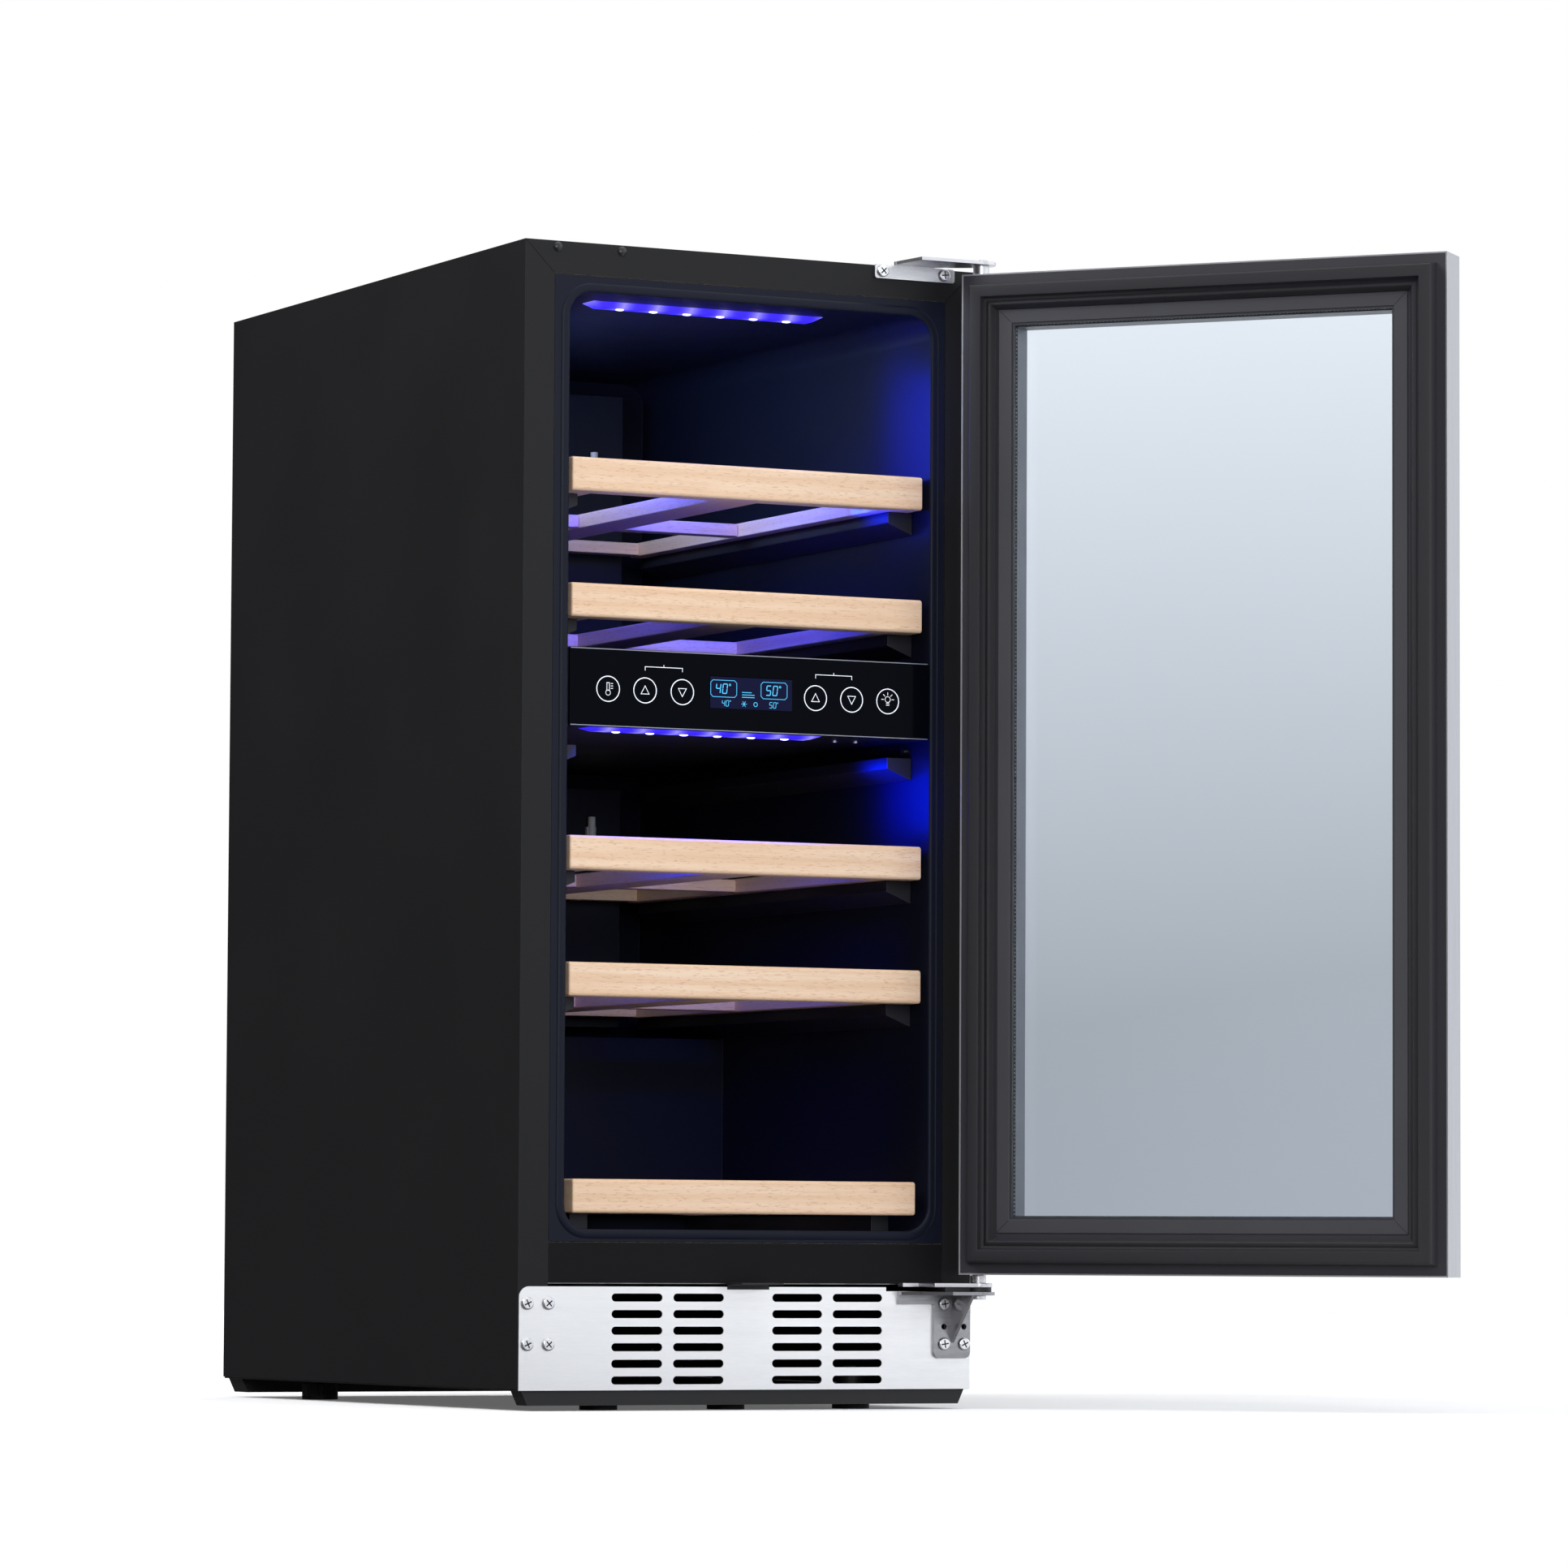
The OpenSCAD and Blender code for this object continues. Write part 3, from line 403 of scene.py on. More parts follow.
# ---- finishes ----


class Canvas(Tree):
    """A material's tree, with the shader and the place that a pattern is joined to."""

    def __init__(self, tree: NodeTree, effects: SharedEffects, turn: float) -> None:
        """Finds the shader and adds the piece's own coordinates, turned about the upright."""
        super().__init__(tree)
        self.effects = effects
        self.shader = tree.nodes["Principled BSDF"]
        place = self.add("Mapping")
        place.inputs["Rotation"].default_value = (0.0, 0.0, turn)
        self.join(self.add("TexCoord").outputs["Object"], place.inputs["Vector"])
        self.where = place.outputs[0]

    def feed(self, name: str, value: object) -> None:
        """Gives one of the shader's inputs a value or a pattern."""
        if isinstance(value, Socket):
            self.join(value, self.shader.inputs[name])
        else:
            self.shader.inputs[name].default_value = value

    def tone(self, colour: object, scale: float, amount: float) -> Node:
        """A colour that drifts slowly over the surface."""
        return self.group(self.effects.drift, Vector=self.where, Color=colour, Scale=scale, Amount=amount)

    def worn(self, radius: float, amount: float) -> Socket:
        """The mask of the rubbed edges."""
        return self.group(self.effects.edge_wear, Vector=self.where, Radius=radius, Amount=amount).outputs["Mask"]

    def bump(self, height: Socket, depth: float, strength: float = 0.5) -> None:
        """Raises the surface by a height pattern, depth in metres."""
        node = self.add("Bump")
        node.inputs["Strength"].default_value = strength
        node.inputs["Distance"].default_value = depth
        self.join(height, node.inputs["Height"])
        self.feed("Normal", node.outputs[0])


@dataclass(frozen=True)
class Finish:
    """A finish: its base colour, gloss and pattern."""

    look: Look
    colour: Colour
    roughness: float = 0.5
    specular: float = 0.5
    metallic: float = 0.0
    turn: float = 0.0

    def build(self, effects: SharedEffects) -> bpy.types.Material:
        """Makes the material.

        Args:
            effects: the shared node groups.

        Returns:
            The material, with its pattern joined to the shader.
        """
        material = bpy.data.materials.new(self.look.value)
        material.use_nodes = True
        material.diffuse_color = (*self.colour, 1.0)
        t = Canvas(material.node_tree, effects, self.turn)
        for name, value in (("Base Color", (*self.colour, 1.0)), ("Roughness", self.roughness),
                            ("Specular IOR Level", self.specular), ("Metallic", self.metallic)):
            t.feed(name, value)
        self.pattern(t)
        return material

    def pattern(self, t: Canvas) -> None:
        """Joins the finish's pattern to the shader."""
        raise NotImplementedError


@dataclass(frozen=True)
class Textured(Finish):
    """Painted steel or moulded plastic with a fine all-over texture and rubbed edges."""

    grain: float = 900.0
    depth: float = 0.00006
    drift: float = 0.25
    rubbed: Colour = (0.25, 0.25, 0.26)
    wear: float = 0.35

    def pattern(self, t: Canvas) -> None:
        """Joins tone, wear, gloss and texture to the shader."""
        tone = t.tone(self.colour, 7.0, self.drift)
        texture = t.group(t.effects.moulded, Vector=t.where, Scale=self.grain)
        worn = t.worn(0.0009, self.wear)
        colour = t.blend(worn, tone.outputs["Color"], self.rubbed)
        t.feed("Base Color", colour)
        gloss = t.between(tone.outputs["Value"], 0.2, 0.8, self.roughness - 0.05, self.roughness + 0.06)
        speck = t.math("MULTIPLY", t.math("SUBTRACT", texture.outputs["Grain"], 0.5), 0.12)
        t.feed("Roughness", t.math("ADD", gloss, speck, clamp=True))
        t.bump(texture.outputs["Height"], self.depth)


@dataclass(frozen=True)
class Brushed(Finish):
    """Brushed or drawn metal with lines along one direction."""

    along: Along = Along.X
    streak: float = 0.1
    depth: float = 0.00002
    wear: float = 0.3

    def pattern(self, t: Canvas) -> None:
        """Joins lines, tone and gloss to the shader."""
        lines = t.group(t.effects.brushed, Vector=t.stretch(t.where, self.along.value))
        tone = t.tone(self.colour, 5.0, 0.08)
        dark = tuple(c * (1 - self.streak * 2) for c in self.colour)
        worn = t.worn(0.0007, self.wear)
        colour = t.blend(t.between(lines.outputs["Streak"], 0.35, 0.65), tone.outputs["Color"], dark)
        colour = t.blend(worn, colour, tuple(min(1.0, c * 1.15 + 0.02) for c in self.colour))
        t.feed("Base Color", colour)
        t.feed("Roughness", t.between(lines.outputs["Streak"], 0.3, 0.7, self.roughness - 0.06, self.roughness + 0.1))
        t.bump(lines.outputs["Height"], self.depth)


@dataclass(frozen=True)
class Beech(Finish):
    """Clear-varnished beech."""

    swap: Point = (0.0, 0.0, 0.0)

    def pattern(self, t: Canvas) -> None:
        """Joins the grain to the shader, turned along the piece."""
        turned = t.add("Mapping")
        turned.inputs["Rotation"].default_value = self.swap
        t.join(t.where, turned.inputs["Vector"])
        wood = t.group(t.effects.beech, Vector=turned.outputs[0])
        tone = t.tone(wood.outputs["Color"], 4.0, 0.1)
        worn = t.worn(0.0012, 0.35)
        t.feed("Base Color", t.blend(worn, tone.outputs["Color"], srgb(214, 172, 132)))
        t.feed("Roughness", t.between(wood.outputs["Fibre"], 0.3, 0.7, self.roughness - 0.06, self.roughness + 0.08))
        t.bump(wood.outputs["Height"], 0.00012)


@dataclass(frozen=True)
class Gloss(Finish):
    """Smooth glossy plastic or glass-topped panel with a trace of handling."""

    coat: float = 0.6

    def pattern(self, t: Canvas) -> None:
        """Joins faint smears to the gloss."""
        t.feed("Coat Weight", self.coat)
        t.feed("Coat Roughness", 0.04)
        tone = t.tone(self.colour, 11.0, 0.3)
        t.feed("Base Color", tone.outputs["Color"])
        smear = t.noise(t.where, 34.0, 5.0, 0.6)
        t.feed("Roughness", t.between(smear, 0.3, 0.75, self.roughness, self.roughness + 0.09))


@dataclass(frozen=True)
class Pane(Finish):
    """Tinted, coated insulating glass."""

    def pattern(self, t: Canvas) -> None:
        """Joins a faint haze to the glass, whose tint and clearness are the same all over."""
        t.feed("Transmission Weight", 1.0)
        t.feed("IOR", 1.45)
        haze = t.noise(t.where, 3.0, 4.0, 0.6)
        tone = t.tone(self.colour, 2.5, 0.04)
        t.feed("Base Color", tone.outputs["Color"])
        t.feed("Roughness", t.between(haze, 0.35, 0.8, self.roughness, self.roughness + 0.02))


@dataclass(frozen=True)
class Glow(Finish):
    """A glowing surface: a lamp's lens, a lit digit, or a printed line whose glow is painted light standing in for the
    light it catches.
    """

    light: Colour = (0.1, 0.1, 1.0)
    strength: float = 1.0
    pitch: float = 0.0
    first: float = 0.0
    core: Colour = (0.3, 0.26, 1.0)

    def pattern(self, t: Canvas) -> None:
        """Joins the light to the shader: even, or brightest at each lamp of a row."""
        t.feed("Emission Strength", self.strength)
        tone = t.tone(self.light, 90.0, 0.2)
        light = tone.outputs["Color"]
        if self.pitch:
            parts = t.add("SeparateXYZ")
            t.join(t.where, parts.inputs[0])
            step = t.math("FRACT", t.math("DIVIDE", t.math("SUBTRACT", parts.outputs[0], self.first), self.pitch))
            near = t.math("ABSOLUTE", t.math("SUBTRACT", step, 0.5))
            light = t.blend(t.math("POWER", t.between(near, 0.0, 0.42, 1.0, 0.0), 2.2), light, self.core)
        t.feed("Emission Color", light)
        fine = t.noise(t.where, 700.0)
        t.feed("Roughness", t.between(fine, 0.3, 0.7, self.roughness - 0.05, self.roughness + 0.05))
        t.bump(fine, 0.00003, 0.3)


@dataclass(frozen=True)
class Dotted(Finish):
    """The dull metal spacer between two panes, with a row of small holes."""

    def pattern(self, t: Canvas) -> None:
        """Joins the holes and a drawn-metal tone to the shader."""
        dots = t.group(t.effects.dots, Vector=t.where, Pitch=0.003)
        tone = t.tone(self.colour, 30.0, 0.25)
        t.feed("Base Color", t.blend(dots.outputs["Mask"], tone.outputs["Color"], srgb(215, 220, 226)))
        fine = t.noise(t.where, 800.0)
        t.feed("Roughness", t.between(fine, 0.3, 0.7, self.roughness - 0.08, self.roughness + 0.08))
        t.bump(t.math("SUBTRACT", fine, dots.outputs["Mask"]), 0.0001)


@dataclass(frozen=True)
class Spangled(Finish):
    """Galvanised sheet with its crystals."""

    def pattern(self, t: Canvas) -> None:
        """Joins the crystals' tone and gloss to the shader."""
        crystals = t.add("TexVoronoi")
        crystals.inputs["Scale"].default_value = 110.0
        t.join(t.where, crystals.inputs["Vector"])
        parts = t.add("SeparateColor")
        t.join(crystals.outputs["Color"], parts.inputs[0])
        dull = tuple(c * 0.72 for c in self.colour)
        t.feed("Base Color", t.blend(parts.outputs[0], self.colour, dull))
        t.feed("Roughness", t.between(parts.outputs[1], 0.0, 1.0, self.roughness - 0.1, self.roughness + 0.12))
        t.bump(t.noise(t.where, 260.0), 0.00004)


@dataclass(frozen=True)
class Cellular(Finish):
    """Rigid foam with open cells on its cut faces."""

    def pattern(self, t: Canvas) -> None:
        """Joins the cells to the shader."""
        cells = t.add("TexVoronoi", feature="DISTANCE_TO_EDGE")
        cells.inputs["Scale"].default_value = 420.0
        t.join(t.where, cells.inputs["Vector"])
        tone = t.tone(self.colour, 9.0, 0.3)
        wall = t.between(cells.outputs["Distance"], 0.0, 0.12)
        t.feed("Base Color", t.blend(wall, srgb(196, 172, 112), tone.outputs["Color"]))
        t.feed("Roughness", t.between(wall, 0.0, 1.0, self.roughness - 0.1, self.roughness))
        t.bump(wall, 0.0003)


@dataclass(frozen=True)
class PrintedBoard(Finish):
    """Solder-masked circuit board with tracks and pads."""

    def pattern(self, t: Canvas) -> None:
        """Joins tracks and pads to the shader."""
        tracks = t.add("TexVoronoi", feature="F1", distance="MANHATTAN")
        tracks.inputs["Scale"].default_value = 160.0
        t.join(t.where, tracks.inputs["Vector"])
        track = t.between(tracks.outputs["Distance"], 0.42, 0.46)
        pads = t.group(t.effects.dots, Vector=t.where, Pitch=0.0051)
        lines = t.blend(track, self.colour, tuple(c * 1.9 for c in self.colour))
        t.feed("Base Color", t.blend(pads.outputs["Mask"], lines, srgb(196, 190, 170)))
        t.feed("Roughness", t.between(track, 0.0, 1.0, self.roughness, self.roughness + 0.15))
        t.bump(t.math("ADD", track, pads.outputs["Mask"]), 0.00005)


DOOR_TURN = -math.radians(130.9)
FINISHES: tuple[Finish, ...] = (
    Textured(Look.WRAPPER, srgb(23, 23, 25), 0.5, 0.2, grain=1100.0, depth=0.00005, rubbed=srgb(78, 78, 84)),
    # Painted shade: near-black for thin strips that stand in for the shadow in mitre gaps.
    Textured(Look.FLANGE_SEAM, srgb(8, 8, 9), 0.8, 0.1, wear=0.0),
    Textured(Look.PAN, srgb(24, 24, 26), 0.5, 0.4, grain=800.0, rubbed=srgb(120, 120, 124)),
    Textured(Look.LINER, srgb(15, 19, 34), 0.42, 0.14, grain=700.0, depth=0.00003, rubbed=srgb(52, 58, 76), wear=0.25),
    Textured(Look.RAIL, srgb(21, 21, 23), 0.5, 0.08, grain=900.0, wear=0.2),
    Textured(Look.SHELF_RAIL, srgb(26, 27, 36), 0.5, 0.35, grain=700.0),
    Textured(Look.DIVIDER, srgb(19, 19, 23), 0.42, 0.35, grain=900.0),
    Textured(Look.DUCT, srgb(20, 24, 38), 0.45, 0.3, grain=800.0),
    Gloss(Look.PANEL, srgb(5, 7, 13), 0.06, 0.02, coat=0.0),
    # Painted light: the printed key lines glow faintly, standing in for the light they catch.
    Glow(Look.KEY_LINE, srgb(236, 240, 246), 0.5, 0.3, light=srgb(225, 232, 246), strength=0.45),
    Brushed(Look.EDGE_LINE, srgb(150, 154, 166), 0.35, 0.4, 0.6),
    Gloss(Look.DISPLAY, srgb(15, 18, 52), 0.08, 0.05, coat=0.0),
    Glow(Look.DIGITS, srgb(20, 60, 90), 0.5, 0.3, light=srgb(78, 190, 240), strength=1.25),
    Glow(Look.LENS, srgb(60, 50, 200), 0.35, 0.4, light=srgb(46, 26, 232), strength=1.1, pitch=0.028, first=-0.016),
    Glow(Look.CHIP, srgb(200, 200, 255), 0.3, 0.4, light=srgb(150, 140, 255), strength=10.0),
    Brushed(Look.KICK, srgb(233, 233, 234), 0.34, 0.5, 0.9, streak=0.03),
    Brushed(Look.HINGE, srgb(205, 205, 208), 0.3, 0.5, 1.0, streak=0.08),
    # Painted shade: a darker copy of the hinge steel, for the bottom bracket.
    Brushed(Look.BRACKET, srgb(150, 150, 153), 0.3, 0.5, 1.0, streak=0.1),
    Gloss(Look.PLUG, srgb(20, 20, 22), 0.3, 0.45, coat=0.0),
    Brushed(Look.SCREW, srgb(214, 214, 216), 0.22, 0.5, 1.0, along=Along.Z, streak=0.05),
    Textured(Look.BLACK, srgb(20, 20, 22), 0.5, 0.4, grain=800.0),
    Textured(Look.DOOR_FRAME, srgb(47, 47, 52), 0.5, 0.35, turn=DOOR_TURN, grain=1000.0, rubbed=srgb(90, 90, 96)),
    Textured(Look.BEAD, srgb(59, 59, 64), 0.45, 0.4, turn=DOOR_TURN, grain=1000.0, rubbed=srgb(110, 110, 116)),
    Textured(Look.GASKET, srgb(33, 33, 37), 0.62, 0.3, turn=DOOR_TURN, grain=1500.0, depth=0.00003, wear=0.15),
    Brushed(Look.SKIN, srgb(174, 174, 179), 0.34, 0.5, 0.6, DOOR_TURN, along=Along.Z, streak=0.04),
    Pane(Look.GLASS, srgb(248, 251, 254), 0.0, 0.5),
    Dotted(Look.SPACER, srgb(104, 109, 118), 0.45, 0.5, 0.5, DOOR_TURN),
    Beech(Look.BEECH, srgb(240, 205, 170), 0.5, 0.35),
    Beech(Look.BEECH_LONG, srgb(240, 205, 170), 0.5, 0.35, swap=(0.0, 0.0, math.radians(90))),
    Spangled(Look.GALVANISED, srgb(170, 174, 178), 0.42, 0.5, 0.9),
    Cellular(Look.FOAM, srgb(236, 222, 172), 0.9, 0.2),
    Brushed(Look.COIL, srgb(196, 198, 202), 0.35, 0.5, 1.0, along=Along.Z),
    PrintedBoard(Look.BOARD, srgb(22, 92, 48), 0.35, 0.5),
    Textured(Look.SENSOR, srgb(226, 226, 220), 0.45, 0.5, wear=0.1),
    Textured(Look.ENAMEL, srgb(16, 16, 17), 0.22, 0.5, grain=260.0, rubbed=srgb(70, 70, 72)),
    Textured(Look.RUBBER, srgb(18, 18, 19), 0.6, 0.35, grain=600.0),
    Textured(Look.BUSH, srgb(222, 222, 214), 0.4, 0.5, wear=0.1),
    Brushed(Look.BRASS, srgb(190, 176, 128), 0.3, 0.5, 1.0, along=Along.Y),
)


class Palette:
    """All materials, by look."""

    def __init__(self) -> None:
        """Builds every finish."""
        effects = SharedEffects()
        self.materials = {finish.look: finish.build(effects) for finish in FINISHES}

    def __getitem__(self, look: Look) -> bpy.types.Material:
        """The material of a look."""
        return self.materials[look]


def area_light(name: str, place: Sequence[float], turn: Sequence[float], size: Pair, watts: float,
               colour: Colour = (1.0, 1.0, 1.0), spread: float = 180.0) -> None:
    """Adds a rectangular light.

    Args:
        name: its name.
        place: where it stands, in metres.
        turn: how it is turned, in radians.
        size: its length and width in metres.
        watts: its power.
        colour: its colour.
        spread: the angle of its beam in degrees.
    """
    data = bpy.data.lights.new(name, "AREA")
    data.shape = "RECTANGLE"
    data.size, data.size_y = size
    data.energy = watts
    data.color = colour
    data.spread = math.radians(spread)
    lamp = bpy.data.objects.new(name, data)
    lamp.location = place
    lamp.rotation_euler = turn
    bpy.context.scene.collection.objects.link(lamp)


# ---- modelling tools ----


@dataclass(frozen=True)
class CaseFrame:
    """Turns millimetres in the case's own frame into metres in the row frame."""

    front: float
    base: float

    @classmethod
    def read(cls) -> CaseFrame:
        """Reads where the case stands from its wrapper."""
        low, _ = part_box("outer_wrapper")
        return cls(low.y, low.z)

    def at(self, x: float, y: float, z: float) -> Vector:
        """A point of the case, in metres in the row frame."""
        return Vector((x * MM, y * MM + self.front, z * MM + self.base))


class Bench:
    """Models pieces by hand-like steps and hands them over to the frame."""

    def __init__(self, palette: Palette, case: CaseFrame) -> None:
        """Keeps the materials and the case's place."""
        self.palette = palette
        self.case = case
        hinge = next(j for j in frame["joints"] if j["name"] == "door_hinge")
        pivot = Matrix.Translation(Vector((hinge["pos_m"][0], hinge["pos_m"][1], 0.0)))
        opened = Matrix.Rotation(-math.radians(hinge["range_deg"][0]), 4, "Z")
        self.door_place = pivot @ opened @ pivot.inverted()

    @staticmethod
    def clear() -> None:
        """Deselects everything, in object mode."""
        if bpy.context.object and bpy.context.object.mode != "OBJECT":
            bpy.ops.object.mode_set(mode="OBJECT")
        bpy.ops.object.select_all(action="DESELECT")

    @staticmethod
    def edit() -> None:
        """Opens the picked piece's mesh, all of it selected."""
        bpy.ops.object.mode_set(mode="EDIT")
        bpy.ops.mesh.select_all(action="SELECT")

    @classmethod
    def pick(cls, *pieces: Piece) -> None:
        """Selects only these pieces, the first one active."""
        cls.clear()
        for piece in pieces:
            piece.select_set(True)
        bpy.context.view_layer.objects.active = pieces[0]

    @classmethod
    def settle(cls, piece: Piece) -> None:
        """Moves a piece's place, turn and scale into its mesh."""
        cls.pick(piece)
        bpy.ops.object.transform_apply(location=True, rotation=True, scale=True)

    @classmethod
    def merge(cls, pieces: Sequence[Piece], name: str) -> Piece:
        """Joins pieces into one, with its place in its mesh."""
        cls.pick(*pieces)
        if len(pieces) > 1:
            bpy.ops.object.join()
        piece = bpy.context.object
        piece.name = name
        cls.settle(piece)
        return piece

    @classmethod
    def soften(cls, piece: Piece, width: float, steps: int = 2, angle: float = 35.0) -> None:
        """Rounds a piece's edges and shades it smooth where it is round.

        Args:
            piece: the piece.
            width: the rounding's width in millimetres, 0 for none.
            steps: how many faces make the rounding.
            angle: edges sharper than this many degrees are rounded.
        """
        cls.pick(piece)
        if width:
            bevel = piece.modifiers.new("rounding", "BEVEL")
            bevel.width = width * MM
            bevel.segments = steps
            bevel.limit_method = "ANGLE"
            bevel.angle_limit = math.radians(angle)
            bevel.use_clamp_overlap = True
            bpy.ops.object.modifier_apply(modifier=bevel.name)
        bpy.ops.object.shade_smooth_by_angle(angle=SMOOTH_BELOW)
        even = piece.modifiers.new("even_shading", "WEIGHTED_NORMAL")
        even.keep_sharp = True
        bpy.ops.object.modifier_apply(modifier=even.name)

    def refine(self, node: str, look: Look, width: float = 0.3, steps: int = 2, name: str = "",
               slot: str = "") -> Piece:
        """Makes a detailed piece from a CAD node: merged, cleaned, with rounded edges.

        Args:
            node: the CAD node that the piece stands for.
            look: its finish.
            width: the rounding of its edges in millimetres.
            steps: how many faces make the rounding.
            name: the piece's name, or the node's with _detail.
            slot: the record's material slot, if not the node's own look.

        Returns:
            The piece, riding on the node's body.
        """
        source = frame["nodes"][node]
        piece = bpy.data.objects.new(name or node + "_detail", source.data.copy())
        bpy.context.scene.collection.objects.link(piece)
        self.pick(piece)
        self.edit()
        bpy.ops.mesh.remove_doubles(threshold=WELD)
        bpy.ops.mesh.dissolve_limited(angle_limit=FLAT_BELOW)
        bpy.ops.object.mode_set(mode="OBJECT")
        if "custom_normal" in piece.data.attributes:
            piece.data.attributes.remove(piece.data.attributes["custom_normal"])
        self.soften(piece, width, steps)
        self.hand_over(piece, source["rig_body"], look, slot, [node])
        return piece

    def refine_all(self, *rows: tuple) -> None:
        """Makes one detailed piece for each row of node, look, rounding and, if given, steps."""
        for row in rows:
            self.refine(*row)

    def hand_over(self, piece: Piece, body: str, look: Optional[Look], slot: str = "",
                  stands_for: Sequence[str] = ()) -> None:
        """Gives a piece its finish and its body.

        Args:
            piece: the finished piece.
            body: the body it rides on.
            look: its finish, or None where its faces have theirs already.
            slot: the record's material slot; not used.
            stands_for: the CAD nodes that it replaces.
        """
        if look is not None:
            piece.data.materials.clear()
            piece.data.materials.append(self.palette[look])
        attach(piece, body)
        if stands_for:
            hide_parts(*stands_for)
        if stands_for and not slot:
            slot = SLOTS[stands_for[0]]
        LOG.info("%s rides on %s", piece.name, body)

    def dress(self, node: str, look: Look) -> None:
        """Gives a CAD node that stays as it is its finish."""
        materials = frame["nodes"][node].data.materials
        materials.clear()
        materials.append(self.palette[look])
        LOG.info("%s keeps its CAD shape", node)

    def open_door(self, piece: Piece) -> None:
        """Turns a piece that was drawn on the closed door to where the door stands open."""
        piece.matrix_world = self.door_place @ piece.matrix_world
        self.settle(piece)

    def moulding(self, name: str, half: float, low: float, high: float, y: float, inward: float,
                 profile: Sequence[Pair], corner: float = 0.0) -> Piece:
        """Makes a closed moulding round a rectangle, from its outer edge inwards.

        Args:
            name: the piece's name.
            half: half its width, in millimetres.
            low: its lower edge.
            high: its upper edge.
            y: the depth of its back.
            inward: 1 where it faces the back of the cooler, -1 where it faces the front.
            profile: how far in and how far out each step of its section goes.
            corner: the radius of its outer corners, 0 for mitred ones.

        Returns:
            The piece, in the case's frame.
        """
        self.clear()
        middle = self.case.at(0, y, (low + high) / 2)
        bpy.ops.mesh.primitive_plane_add(size=1.0, location=middle,
                                         rotation=(-inward * math.pi / 2, 0.0, 0.0))
        piece = bpy.context.object
        piece.name = name
        piece.scale = (2 * half * MM, (high - low) * MM, 1.0)
        self.settle(piece)
        self.edit()
        if corner:
            bpy.ops.mesh.bevel(offset=corner * MM, segments=8, affect="VERTICES")
        bpy.ops.mesh.select_mode(type="FACE")
        bpy.ops.mesh.select_all(action="SELECT")
        for step, rise in profile:
            bpy.ops.mesh.inset(thickness=step * MM, depth=rise * MM, use_even_offset=True)
        bpy.ops.mesh.delete(type="FACE")
        bpy.ops.mesh.select_mode(type="EDGE")
        bpy.ops.mesh.select_all(action="DESELECT")
        bpy.ops.mesh.select_non_manifold()
        bpy.ops.mesh.bridge_edge_loops()
        bpy.ops.mesh.select_all(action="SELECT")
        bpy.ops.mesh.normals_make_consistent(inside=False)
        bpy.ops.object.mode_set(mode="OBJECT")
        return piece

    def bar(self, start: Pair, end: Pair, y: float, width: float,
            height: float) -> Piece:
        """Makes a flat bar on the front, between two points in (x, z).

        Args:
            start: where its middle line starts, in millimetres.
            end: where it ends.
            y: the depth of the middle of the bar.
            width: how wide it is.
            height: how far it stands out, in all.

        Returns:
            The bar.
        """
        run, rise = end[0] - start[0], end[1] - start[1]
        self.clear()
        bpy.ops.mesh.primitive_cube_add(
            size=1.0, location=self.case.at((start[0] + end[0]) / 2, y, (start[1] + end[1]) / 2),
            rotation=(0.0, -math.atan2(rise, run), 0.0))
        piece = bpy.context.object
        piece.scale = ((math.hypot(run, rise) + width) * MM, height * MM, width * MM)
        self.settle(piece)
        self.edit()
        bpy.ops.mesh.bevel(offset=min(width, height) * 0.3 * MM, segments=1, affect="EDGES")
        bpy.ops.object.mode_set(mode="OBJECT")
        return piece

    def hoop(self, x: float, y: float, z: float, radius: float, thickness: float,
             sides: int = 40) -> Piece:
        """Makes a thin ring on the front."""
        self.clear()
        bpy.ops.mesh.primitive_torus_add(location=self.case.at(x, y, z), rotation=(math.pi / 2, 0.0, 0.0),
                                         major_radius=radius * MM, minor_radius=thickness / 2 * MM,
                                         major_segments=sides, minor_segments=6)
        return bpy.context.object

    def box(self, low: Point, high: Point) -> Piece:
        """Makes a block between two corners in the case's frame, ready to be rounded."""
        self.clear()
        a, b = self.case.at(*low), self.case.at(*high)
        bpy.ops.mesh.primitive_cube_add(size=1.0, location=(a + b) / 2)
        piece = bpy.context.object
        piece.scale = b - a
        self.settle(piece)
        return piece


# ---- the cooler's sub-assemblies ----


@dataclass
class CabinetShell:
    """The steel case, its base, rail, vented kick plate and plugs."""

    bench: Bench
    half: float = 187.5
    height: float = 842.0
    flange: float = 24.0

    def build(self) -> None:
        """Models the shell and dresses the sheets that nobody sees."""
        b = self.bench
        b.refine_all(("outer_wrapper", Look.WRAPPER, 0.35), ("rear_panel", Look.WRAPPER, 0.2),
                     ("base_pan", Look.PAN, 0.5), ("lower_front_rail", Look.RAIL, 0.3),
                     ("kick_plate", Look.KICK, 0.22), ("hinge_hole_plugs", Look.PLUG, 0.15),
                     ("compartment_shield", Look.GALVANISED, 0.2), ("machine_cover", Look.PAN, 0.2),
                     ("case_screws", Look.SCREW, 0.12))
        b.dress("foam_insulation", Look.FOAM)
        self.mitre_shade()

    def mitre_shade(self) -> None:
        """Painted shade: thin near-black strips just proud of the flanges, standing in for the shadow in the mitre
        gaps where the wrapper's front flanges meet.
        """
        b, w, top = self.bench, self.half, self.height
        outer, inner = 0.6, self.flange - 0.4
        bars = [b.bar((s * (w - outer), top - outer), (s * (w - inner), top - inner), -0.01, 0.35, 0.12)
                for s in (-1, 1)]
        piece = b.merge(bars, "flange_mitre_shade")
        b.hand_over(piece, Body.CABINET.value, Look.FLANGE_SEAM, "wrapper_steel")


